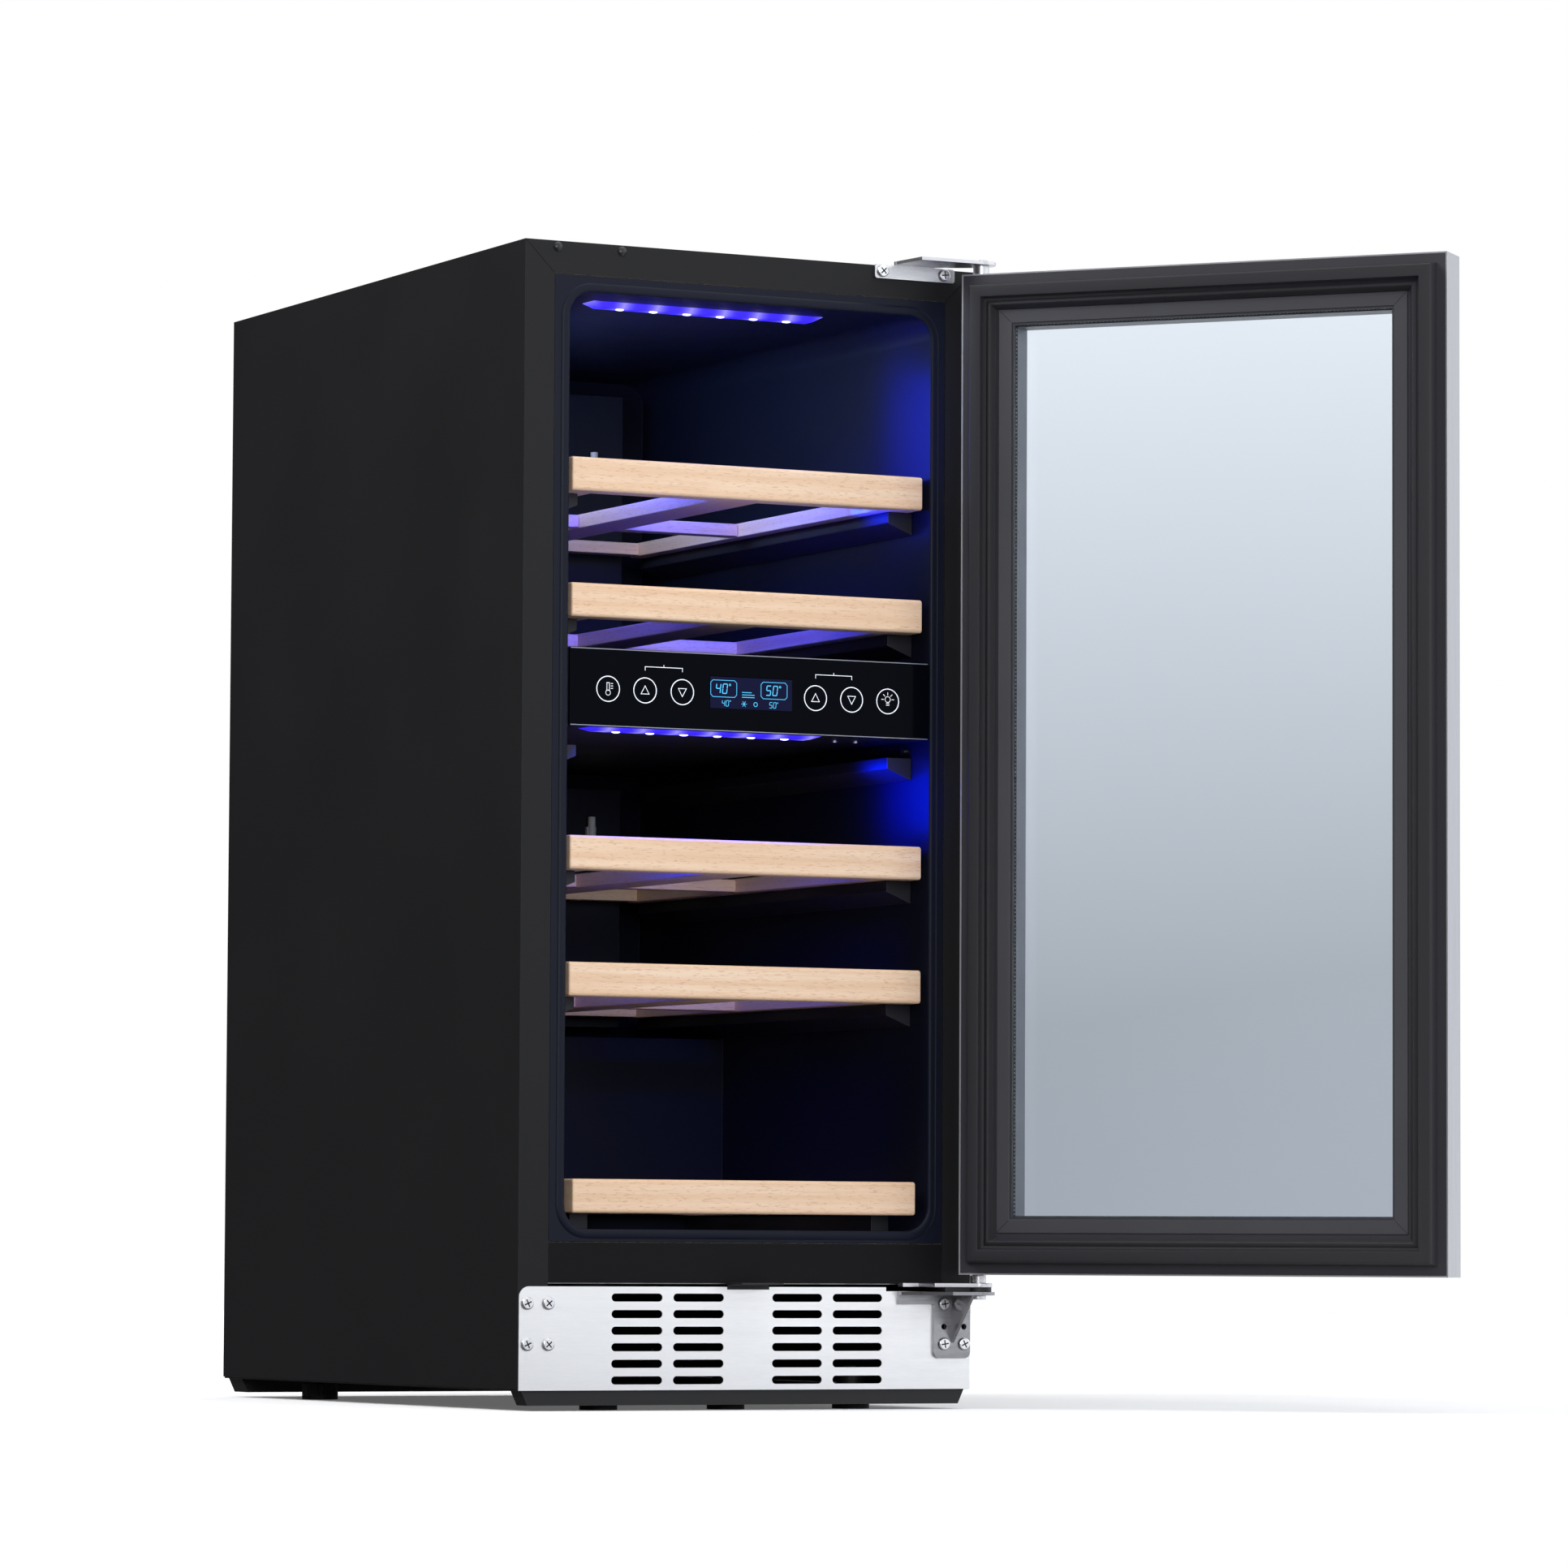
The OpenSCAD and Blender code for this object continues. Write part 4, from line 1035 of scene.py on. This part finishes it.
@dataclass
class LinedCavity:
    """The plastic liner with its raised lip, the rails, ducts and the divider's shell."""

    bench: Bench
    half: float = 151.0
    floor: float = 116.5
    top: float = 805.5
    corner: float = 18.0
    lip: float = 7.0

    def build(self) -> None:
        """Models the cavity."""
        b = self.bench
        b.refine_all(("inner_liner", Look.LINER, 0.6, 3), ("shelf_rails", Look.SHELF_RAIL, 0.8),
                     ("duct_covers", Look.DUCT, 0.8), ("zone_divider", Look.DIVIDER, 0.6),
                     ("temperature_sensors", Look.SENSOR, 0.4))
        b.dress("evaporators", Look.COIL)
        b.refine("fan_frames", Look.BLACK, 0.4)
        for node in ("upper_fan_rotor", "lower_fan_rotor", "condenser_fan_rotor"):
            b.refine(node, Look.BLACK, 0.2)
        self.raised_lip()

    def raised_lip(self) -> None:
        """The rounded bead round the opening."""
        b, o = self.bench, self.lip
        section = ((0.01, 0.15), (0.5, 0.5), (0.7, 0.35), (1.0, 0.3), (1.4, 0.15), (1.3, 0.0), (1.0, -0.2),
                   (0.7, -0.4), (0.35, -0.6))
        piece = b.moulding("liner_lip", self.half + o - 0.05, self.floor - o + 0.05, self.top + o - 0.05, 0.15, -1,
                           section, self.corner + o)
        b.soften(piece, 0.0)
        b.hand_over(piece, Body.CABINET.value, Look.LINER, "liner_plastic")


@dataclass
class HingeHardware:
    """The steel hinge plates, their pins and screws, and the strike for the lock."""

    bench: Bench
    kick_front: float = -1.0
    plate: float = 2.5
    kick_x: Pair = (180.5, 163.5)
    kick_z: Pair = (62.4, 32.5)
    top_x: Pair = (108.5, 161.0)
    top_z: float = 837.6
    head_radius: float = 4.7
    head: float = 2.1
    recess: float = 2.5

    def build(self) -> None:
        """Models the hinges."""
        b = self.bench
        for node in ("top_hinge_bracket", "bottom_hinge_plate", "hinge_pins"):
            b.refine(node, Look.HINGE, 0.35)
        # Painted shade: the bottom bracket gets a darker copy of the hinge steel, standing in for the shade it sits
        # in.
        b.refine("bottom_hinge_bracket", Look.BRACKET, 0.35)
        self.screws()
        b.refine_all(("hinge_spacer", Look.BLACK, 0.4), ("lock_strike", Look.BLACK, 0.25),
                     ("hinge_bushings", Look.BUSH, 0.4))

    def screws(self) -> None:
        """The screws' pan heads and their dark cross recesses."""
        b = self.bench
        heads, slots = [], []
        left = [(-x, z, self.kick_front) for x in self.kick_x for z in self.kick_z]
        right = [(x, z, self.kick_front - self.plate) for x in self.kick_x for z in self.kick_z]
        for x, z, y in [*left, *right, *((x, self.top_z, -self.plate) for x in self.top_x)]:
            b.clear()
            bpy.ops.mesh.primitive_cylinder_add(vertices=40, radius=self.head_radius * MM, depth=self.head * MM,
                                                location=b.case.at(x, y - self.head / 2, z),
                                                rotation=(math.pi / 2, 0.0, 0.0))
            b.soften(bpy.context.object, 1.1, 4)
            heads.append(bpy.context.object)
            for angle in (25.0 + x, 115.0 + x):
                reach = heading(angle) * self.recess
                slots.append(b.bar((x - reach.x, z - reach.y), (x + reach.x, z + reach.y), y - self.head, 1.0, 0.1))
        b.hand_over(b.merge(heads, "screw_heads"), Body.CABINET.value, Look.SCREW, SLOTS["case_screws"])
        b.hand_over(b.merge(slots, "screw_recesses"), Body.CABINET.value, Look.BLACK, SLOTS["hinge_spacer"])


class Symbol(Enum):
    """What a touch key shows."""

    THERMOMETER = "thermometer"
    UP = "up"
    DOWN = "down"
    LAMP = "lamp"


@dataclass
class TouchPanel:
    """The glossy control panel with its keys, brackets and lit display."""

    bench: Bench
    middle: float = 514.0
    front: float = -1.0
    half: float = 149.5
    height: float = 58.0
    key_radius: float = 9.3
    line: float = 0.45
    keys: tuple[tuple[float, Symbol], ...] = ((-118.3, Symbol.THERMOMETER), (-88.0, Symbol.UP), (-57.3, Symbol.DOWN),
                                              (53.8, Symbol.UP), (84.3, Symbol.DOWN), (114.9, Symbol.LAMP))
    segments: tuple[tuple[Pair, Pair], ...] = (
        ((0, 2), (1, 2)), ((1, 2), (1, 1)), ((1, 1), (1, 0)), ((0, 0), (1, 0)), ((0, 1), (0, 0)), ((0, 2), (0, 1)),
        ((0, 1), (1, 1)))
    digits: dict[str, str] = field(default_factory=lambda: {"0": "012345", "4": "1256", "5": "02356"})

    def build(self) -> None:
        """Models the panel, its printed lines and its display."""
        b = self.bench
        b.refine_all(("control_panel", Look.PANEL, 0.5), ("display_window", Look.DISPLAY, 0.2))
        b.dress("circuit_boards", Look.BOARD)
        self.edges()
        self.print_keys()
        self.light_display()

    def edges(self) -> None:
        """The thin bright trims along the panel's top and bottom edges."""
        b, h = self.bench, self.height / 2 - 0.7
        bars = [b.bar((-self.half + 0.8, self.middle + s * h), (self.half - 0.8, self.middle + s * h),
                      self.front + 0.05, 0.7, 0.5) for s in (-1, 1)]
        b.hand_over(b.merge(bars, "panel_edge_trims"), Body.CABINET.value, Look.EDGE_LINE, "panel_gloss")

    def stroke(self, start: Pair, end: Pair, width: float = 0.0
               ) -> Piece:
        """One printed line, just proud of the panel."""
        return self.bench.bar(start, end, self.front, width or self.line, 0.16)

    def outline(self, points: Sequence[Pair], width: float = 0.0) -> list[Piece]:
        """Printed lines through some points and back to the first."""
        return [self.stroke(a, c, width) for a, c in zip(points, (*points[1:], points[0]))]

    def symbol(self, kind: Symbol, x: float, z: float) -> list[Piece]:
        """The lines of one key's symbol.

        Args:
            kind: what it shows.
            x: the key's middle.
            z: the key's height.

        Returns:
            The lines.
        """
        if kind in (Symbol.UP, Symbol.DOWN):
            s = 1 if kind is Symbol.UP else -1
            return self.outline([(x - 3.3, z - s * 2.6), (x + 3.3, z - s * 2.6), (x, z + s * 3.4)])
        ring = self.bench.hoop(x, self.front, z + (1.4 if kind is Symbol.LAMP else -2.8),
                               2.2 if kind is Symbol.LAMP else 1.9, self.line, 24)
        if kind is Symbol.THERMOMETER:
            stem = self.outline([(x - 1.0, z - 1.0), (x - 1.0, z + 4.6), (x + 1.0, z + 4.6), (x + 1.0, z - 1.0)])
            marks = [self.stroke((x + 2.4, z + d), (x + 3.8, z + d)) for d in (0.4, 2.2, 4.0)]
            return [ring, *stem, *marks]
        base = [self.stroke((x - 1.1, z + d), (x + 1.1, z + d)) for d in (-1.6, -2.9)]
        rays = []
        for turn in range(0, 181, 45):
            a, c = heading(turn) * 3.5, heading(turn) * 5.2
            rays.append(self.stroke((x + a.x, z + 1.4 + a.y), (x + c.x, z + 1.4 + c.y)))
        return [ring, *base, *rays]

    def print_keys(self) -> None:
        """The key rings, their symbols and the brackets over each pair."""
        b, z = self.bench, self.middle - 1.0
        lines: list[Piece] = []
        for x, kind in self.keys:
            lines.append(b.hoop(x, self.front, z, self.key_radius, 0.75))
            lines.extend(self.symbol(kind, x, z))
        for left, right in ((self.keys[1][0], self.keys[2][0]), (self.keys[3][0], self.keys[4][0])):
            over = z + 17.6
            gap = (left + right) / 2
            ends = (((left, over), (right, over)), ((left, over), (left, over - 2.6)),
                    ((right, over), (right, over - 2.6)), ((gap, over), (gap, over + 1.6)))
            lines += [self.stroke(start, end, 0.45) for start, end in ends]
        # The printed lines glow faintly: painted light standing in for the light that the print catches.
        b.hand_over(b.merge(lines, "touch_key_print"), Body.CABINET.value, Look.KEY_LINE, "panel_gloss")

    def number(self, text: str, x: float, z: float, high: float) -> list[Piece]:
        """The lit bars of a number and its degree ring.

        Args:
            text: the digits.
            x: the left edge of the first.
            z: their foot.
            high: their height.

        Returns:
            The bars.
        """
        bars, wide, thick = [], high * 0.5, high * 0.1
        for place, digit in enumerate(text):
            left = x + place * high * 0.78
            for k in self.digits[digit]:
                (ax, az), (cx, cz) = self.segments[int(k)]
                start = Vector((left + ax * wide + az * high * 0.06, z + az * high / 2))
                end = Vector((left + cx * wide + cz * high * 0.06, z + cz * high / 2))
                inset = (end - start).normalized() * thick * 0.75
                bars.append(self.stroke(tuple(start + inset), tuple(end - inset), thick))
        ring = self.bench.hoop(x + len(text) * high * 0.78 + high * 0.12, self.front, z + high * 0.93, high * 0.09,
                               high * 0.07, 16)
        return [*bars, ring]

    def light_display(self) -> None:
        """The two set temperatures in their boxes, the two real ones below and the status marks."""
        b = self.bench
        lines: list[Piece] = []
        for text, left, right, small in (("40", -33.8, -12.2, -24.5), ("50", 8.1, 29.9, 15.0)):
            low, high, c = self.middle - 3.2, self.middle + 9.2, 1.8
            lines += self.outline([(left + c, low), (right - c, low), (right, low + c), (right, high - c),
                                   (right - c, high), (left + c, high), (left, high - c), (left, low + c)], 0.4)
            lines += self.number(text, left + 4.2, low + 2.7, 7.0)
            lines += self.number(text, small, self.middle - 9.9, 4.2)
        for k, wide in enumerate((7.5, 10.0, 10.0)):
            level = self.middle + 0.8 - 1.8 * k
            lines.append(self.stroke((-7.5, level), (-7.5 + wide, level), 0.5))
        lines.append(b.hoop(3.6, self.front, self.middle - 7.8, 1.5, 0.5, 20))
        for turn in (0, 60, 120):
            way = heading(turn) * 2.1
            centre = Vector((-6.0, self.middle - 7.8))
            lines.append(self.stroke(tuple(centre - way), tuple(centre + way), 0.4))
        b.hand_over(b.merge(lines, "display_figures"), Body.CABINET.value, Look.DIGITS, "display_blue")


@dataclass
class Lamps:
    """The two blue lamp strips and the light that they give."""

    bench: Bench
    upper: Point = (-16.0, 50.0, 801.5)
    lower: Point = (-34.5, 14.0, 482.6)
    pitch: float = 28.0
    count: int = 6
    lens_size: Pair = (193.0, 20.0)
    lens_tops: Pair = (805.5, 485.0)
    lens_taper: Point = (0.92, 0.6, 1.0)
    spread: float = 100.0
    tilt: float = 26.0
    glow_x: float = 118.0
    glow_y: float = 42.0

    def build(self) -> None:
        """Models the lenses and lamps, and adds their light."""
        b = self.bench
        lenses = [self.lens(place, top) for place, top in zip((self.upper, self.lower), self.lens_tops)]
        b.hand_over(b.merge(lenses, "led_lens_trays"), Body.CABINET.value, Look.LENS, "", ["led_lenses"])
        spots = [b.case.at(place[0] + (k - (self.count - 1) / 2) * self.pitch, place[1], place[2])
                 for place in (self.upper, self.lower) for k in range(self.count)]
        chips = [self.chip(spots[0])]
        for spot in spots[1:]:
            b.pick(chips[0])
            bpy.ops.object.duplicate()
            bpy.context.object.location = spot - spots[0]
            chips.append(bpy.context.object)
        b.hand_over(b.merge(chips, "led_chips"), Body.CABINET.value, Look.CHIP, "lens_plastic")
        for name, place, watts in (("upper", self.upper, 1.5), ("lower", self.lower, 0.6)):
            self.shine(f"{name}_lamp_light", place, (0.18, 0.016), watts, (math.radians(self.tilt), 0.0, 0.0),
                       self.spread)
        for name, height, reach, watts in (("upper", 715.0, 0.12, 0.3), ("lower", 450.0, 0.05, 0.24)):
            self.shine(f"{name}_wall_glow", (self.glow_x, self.glow_y, height), (reach, 0.05), watts,
                       (0.0, -math.pi / 2, 0.0), 150.0)
        self.shine("upper_fill", (-128.0, 210.0, 772.0), (0.05, 0.3), 0.5, (0.0, -math.pi / 2, 0.0), 120.0,
                   (0.45, 0.6, 1.0))

    def lens(self, place: Point, top: float) -> Piece:
        """Makes a clear tray with sloping sides.

        Args:
            place: the middle of its lower face, in millimetres.
            top: the height of its upper face.

        Returns:
            The tray.
        """
        self.bench.clear()
        bpy.ops.mesh.primitive_plane_add(size=1.0, location=self.bench.case.at(place[0], place[1], top))
        piece = bpy.context.object
        piece.scale = (self.lens_size[0] * MM, self.lens_size[1] * MM, 1.0)
        self.bench.settle(piece)
        self.bench.edit()
        bpy.ops.mesh.extrude_region_move(TRANSFORM_OT_translate={"value": (0.0, 0.0, (place[2] - top) * MM)})
        bpy.ops.transform.resize(value=self.lens_taper, center_override=self.bench.case.at(*place))
        bpy.ops.mesh.select_all(action="SELECT")
        bpy.ops.mesh.normals_make_consistent(inside=False)
        bpy.ops.object.mode_set(mode="OBJECT")
        self.bench.soften(piece, 0.4)
        return piece

    def chip(self, spot: Vector) -> Piece:
        """One lamp's small domed cap under the lens."""
        self.bench.clear()
        bpy.ops.mesh.primitive_uv_sphere_add(segments=16, ring_count=8, radius=2.6 * MM,
                                             location=spot)
        piece = bpy.context.object
        piece.scale = (1.3, 1.0, 0.35)
        self.bench.settle(piece)
        bpy.ops.object.shade_smooth()
        return piece

    def shine(self, name: str, place: Point, size: Pair, watts: float, turn: Point,
              spread: float, colour: Colour = (0.0, 0.012, 1.0)) -> None:
        """Adds a light inside the cavity.

        Args:
            name: its name.
            place: its lens, in millimetres in the case's frame.
            size: its length and width in metres.
            watts: its power.
            turn: how it is turned, in radians.
            spread: the angle of its beam in degrees.
            colour: its colour, the lamps' blue if not given.
        """
        where = self.bench.case.at(place[0], place[1], place[2] - LAMP_DROP)
        area_light(name, where, turn, size, watts, colour, spread)


@dataclass
class Shelf:
    """One pull-out beech shelf: its front board and its slatted rack."""

    bench: Bench
    number: int
    side: float = 30.0
    middle: float = 36.0
    cross: float = 15.0
    sunk: float = 0.6
    halfway: float = 0.55
    last: float = 18.0
    rounding: float = 1.2

    def build(self) -> None:
        """Models the board and the rack."""
        b = self.bench
        b.refine(f"shelf_{self.number}_front", Look.BEECH, 1.4, steps=3, name=f"shelf_{self.number}_board",
                 slot="beech")
        self.rack()

    def rack(self) -> None:
        """Slats from front to back on two cross slats, each with rounded edges."""
        b, node = self.bench, f"shelf_{self.number}_rack"
        low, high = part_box(node)
        low, high = low / MM, high / MM
        ahead, up = b.case.front / MM, b.case.base / MM
        y0, y1, z0, z1 = low.y - ahead, high.y - ahead, low.z - up, high.z - up
        lengthwise = [b.box((s, y0, z0), (e, y1, z1)) for s, e in (
            (low.x, low.x + self.side), (high.x - self.side, high.x), (-self.middle / 2, self.middle / 2))]
        across = [b.box((left, y, z0 + self.sunk), (right, y + self.cross, z1 - self.sunk))
                  for left, right in ((low.x + self.side, -self.middle / 2), (self.middle / 2, high.x - self.side))
                  for y in (y0 + (y1 - y0) * self.halfway, y1 - self.last)]
        for slats, look in ((lengthwise, Look.BEECH_LONG), (across, Look.BEECH)):
            for slat in slats:
                b.soften(slat, self.rounding, 2)
                slat.data.materials.append(b.palette[look])
        b.hand_over(b.merge([*lengthwise, *across], f"shelf_{self.number}_slats"), f"shelf_{self.number}", None,
                    "beech", [node])


@dataclass
class MachineRoom:
    """What stands behind the kick plate and the back cover."""

    bench: Bench

    def build(self) -> None:
        """Models the machine room's pieces."""
        b = self.bench
        b.refine_all(("compressor", Look.ENAMEL, 1.2), ("compressor_grommets", Look.RUBBER, 0.5),
                     ("drip_tray", Look.BLACK, 0.5), ("power_inlet", Look.BLACK, 0.4))
        b.dress("condenser", Look.PAN)


@dataclass
class Door:
    """The glass door: steel skin, inner frame, gasket, panes, handle and lock."""

    bench: Bench
    half: float = 189.5
    low: float = 84.3
    high: float = 835.0
    back: float = -12.0
    gasket_inset: float = 8.0
    frame_width: float = 42.0

    def build(self) -> None:
        """Models the door."""
        b = self.bench
        b.refine_all(("door_skin", Look.SKIN, 0.5, 3), ("door_inner_frame", Look.DOOR_FRAME, 0.3),
                     ("glass_panes", Look.GLASS, 0.3), ("glass_spacer", Look.SPACER, 0.0),
                     ("door_handle", Look.SKIN, 0.6, 3), ("door_lock_body", Look.HINGE, 0.2),
                     ("lock_barrel", Look.BRASS, 0.15), ("lock_bolt", Look.HINGE, 0.3))
        self.gasket()
        self.window_bead()
        self.mitre_shade()

    def gasket(self) -> None:
        """The magnetic gasket: flat foot, hollow bulb and soft bellows, mitred at the corners."""
        b, d = self.bench, self.gasket_inset
        section = ((0.02, 1.6), (0.8, 1.0), (0.5, 3.4), (0.25, 3.6), (0.5, 1.2), (0.9, 0.55), (3.2, 0.15),
                   (3.2, -0.15), (1.2, -0.5), (0.5, -1.2), (0.3, -2.6), (1.0, -1.9), (1.1, -0.5), (1.3, 0.9),
                   (1.6, 0.6), (1.2, -0.7), (0.7, -1.7), (0.9, -1.2), (0.6, -1.0))
        piece = b.moulding("door_gasket_section", self.half - d, self.low + d, self.high - d, self.back, 1, section)
        b.soften(piece, 0.0)
        b.open_door(piece)
        b.hand_over(piece, Body.DOOR.value, Look.GASKET, "gasket_rubber", ["door_gasket"])

    def window_bead(self) -> None:
        """The mitred bead that holds the inner pane, with a small step next to the glass."""
        b, d = self.bench, self.frame_width - 12.0
        section = ((0.05, 0.5), (0.3, 0.45), (0.7, 0.12), (8.6, 0.0), (0.5, -0.25), (0.3, -1.6), (1.2, -0.1),
                   (0.3, -0.7))
        piece = b.moulding("window_bead", self.half - d, self.low + d + 1, self.high - d + 2, self.back - 0.05, 1,
                           section)
        b.soften(piece, 0.0)
        b.open_door(piece)
        b.hand_over(piece, Body.DOOR.value, Look.BEAD, "door_plastic")

    def mitre_shade(self) -> None:
        """Painted shade: thin near-black strips standing in for the shadow in the mitre gaps at the corners of the
        bead.
        """
        b, pieces = self.bench, []
        for s in (-1, 1):
            for edge, way, shift in ((self.low, 1, 1), (self.high, -1, 2)):
                d = self.frame_width - 12.0
                start = (s * (self.half - d - 0.9), edge + way * (d + 0.9) + shift)
                end = (s * (self.half - d - 9.6), edge + way * (d + 9.6) + shift)
                pieces.append(b.bar(start, end, self.back + 1.0, 0.3, 0.16))
        piece = b.merge(pieces, "window_bead_mitre_shade")
        b.open_door(piece)
        b.hand_over(piece, Body.DOOR.value, Look.FLANGE_SEAM, "door_plastic")


@dataclass
class Feet:
    """The five ribbed levelling feet."""

    bench: Bench
    names: tuple[str, ...] = ("front_left_foot", "front_centre_foot", "front_right_foot", "rear_left_foot",
                              "rear_right_foot")

    def build(self) -> None:
        """Models the feet."""
        for name in self.names:
            self.bench.refine(name, Look.RUBBER, 0.4)


# ---- studio ----


@dataclass
class Studio:
    """A pale floor, soft light all round and the camera."""

    place: Point = (-2.41547, -4.75316, 0.11369)
    yaw: float = 27.381
    pitch: float = 3.772
    roll: float = 0.283
    lens: float = 164.33
    floor_radius: float = 9.0

    def build(self) -> None:
        """Sets up floor, lights and camera."""
        self.floor()
        self.surround()
        self.softbox("softbox_above", (0.2, -0.4, 3.4), (0.0, 0.0, 0.0), (3.6, 3.0), 48.0)
        self.softbox("softbox_front", (-1.5, -3.9, 1.2), (0.0, 0.0, 0.5), (1.8, 1.6), 54.0)
        self.softbox("softbox_left", (-2.4, 0.4, 2.5), (-0.2, 0.2, 0.8), (1.6, 1.6), 96.0)
        self.camera()
        bpy.context.scene.view_settings.view_transform = "Standard"
        bpy.context.scene.view_settings.look = "None"

    def floor(self) -> None:
        """A round pale floor that fades to white far from the cooler."""
        Bench.clear()
        bpy.ops.mesh.primitive_circle_add(vertices=96, radius=self.floor_radius, fill_type="NGON")
        piece = bpy.context.object
        piece.name = "studio_floor"
        material = bpy.data.materials.new("pale_floor")
        material.use_nodes = True
        tree = Tree(material.node_tree)
        shader = material.node_tree.nodes["Principled BSDF"]
        shader.inputs["Base Color"].default_value = (0.86, 0.86, 0.87, 1.0)
        shader.inputs["Roughness"].default_value = 0.85
        shader.inputs["Specular IOR Level"].default_value = 0.1
        shader.inputs["Emission Color"].default_value = (1.0, 1.0, 1.0, 1.0)
        away = tree.add("VectorMath", operation="LENGTH")
        tree.join(tree.add("TexCoord").outputs["Object"], away.inputs[0])
        parts = tree.add("SeparateXYZ")
        tree.join(away.inputs[0].links[0].from_socket, parts.inputs[0])
        right = tree.between(parts.outputs[0], -0.2, 0.9, 0.1, 1.2)
        seen = tree.math("MAXIMUM", tree.add("LightPath").outputs["Is Camera Ray"], right)
        tree.join(tree.math("MULTIPLY", tree.between(away.outputs["Value"], 0.5, 2.0, 0.12, 1.0), seen),
                  shader.inputs["Emission Strength"])
        near = tree.math("MULTIPLY", tree.between(away.outputs["Value"], 0.6, 2.0, 1.0, 0.0), seen)
        tree.join(tree.blend(near, (0.0, 0.0, 0.0), (0.86, 0.86, 0.87)), shader.inputs["Base Color"])
        piece.data.materials.append(material)

    def surround(self) -> None:
        """White behind the cooler; for the light, pale ahead and dim on the left and behind."""
        world = bpy.data.worlds.new("studio")
        bpy.context.scene.world = world
        world.use_nodes = True
        tree = Tree(world.node_tree)
        for node in list(world.node_tree.nodes):
            world.node_tree.nodes.remove(node)
        way = tree.add("SeparateXYZ")
        tree.join(tree.add("TexCoord").outputs["Generated"], way.inputs[0])
        ahead, behind = (tree.math("ADD", tree.math("MULTIPLY", way.outputs[0], right),
                                   tree.math("MULTIPLY", way.outputs[1], back))
                         for right, back in ((0.7, -0.45), (0.46, 0.89)))
        side = tree.between(ahead, -0.45, 0.35, 0.05, 1.0)
        up = tree.between(way.outputs[2], -0.01, 0.15)
        height = tree.between(up, 0.0, 1.0, 0.3, 1.17)
        through = tree.math("MULTIPLY", tree.between(behind, 0.86, 0.97), height)
        mirrored = tree.between(ahead, 0.5, 0.75, 0.0, 0.75)
        strength = tree.math("MAXIMUM", tree.math("ADD", side, mirrored), through)
        light = tree.add("Background")
        tree.join(strength, light.inputs["Strength"])
        tree.join(tree.blend(up, (0.86, 0.91, 1.0), (0.95, 0.975, 1.0)), light.inputs["Color"])
        white = tree.add("Background")
        white.inputs["Color"].default_value = (1.0, 1.0, 1.0, 1.0)
        mix = tree.add("MixShader")
        tree.join(tree.add("LightPath").outputs["Is Camera Ray"], mix.inputs[0])
        tree.join(light.outputs[0], mix.inputs[1])
        tree.join(white.outputs[0], mix.inputs[2])
        tree.join(mix.outputs[0], tree.add("OutputWorld").inputs["Surface"])

    @staticmethod
    def softbox(name: str, place: Point, target: Point, size: Pair, watts: float) -> None:
        """Adds a rectangular soft light.

        Args:
            name: its name.
            place: where it hangs, in metres.
            target: what it points at.
            size: its width and height.
            watts: its power.
        """
        turn = (Vector(target) - Vector(place)).to_track_quat("-Z", "Y").to_euler()
        area_light(name, place, turn, size, watts)

    def camera(self) -> None:
        """The camera, low on the left, looking a little up."""
        data = bpy.data.cameras.new("camera")
        data.lens = self.lens
        data.clip_end = 60.0
        camera = bpy.data.objects.new("camera", data)
        turn = (Matrix.Rotation(-math.radians(self.yaw), 4, "Z")
                @ Matrix.Rotation(math.radians(90 + self.pitch), 4, "X")
                @ Matrix.Rotation(math.radians(self.roll), 4, "Z"))
        camera.matrix_world = Matrix.Translation(self.place) @ turn
        bpy.context.scene.collection.objects.link(camera)
        bpy.context.scene.camera = camera


def main() -> None:
    """Builds every sub-assembly in order, then the studio."""
    logging.basicConfig(level=logging.INFO, format="%(name)s: %(message)s")
    bench = Bench(Palette(), CaseFrame.read())
    CabinetShell(bench).build()
    LinedCavity(bench).build()
    HingeHardware(bench).build()
    TouchPanel(bench).build()
    Lamps(bench).build()
    for number in range(1, 6):
        Shelf(bench, number).build()
    MachineRoom(bench).build()
    Door(bench).build()
    Feet(bench).build()
    Studio().build()


if __name__ == "__main__":
    main()
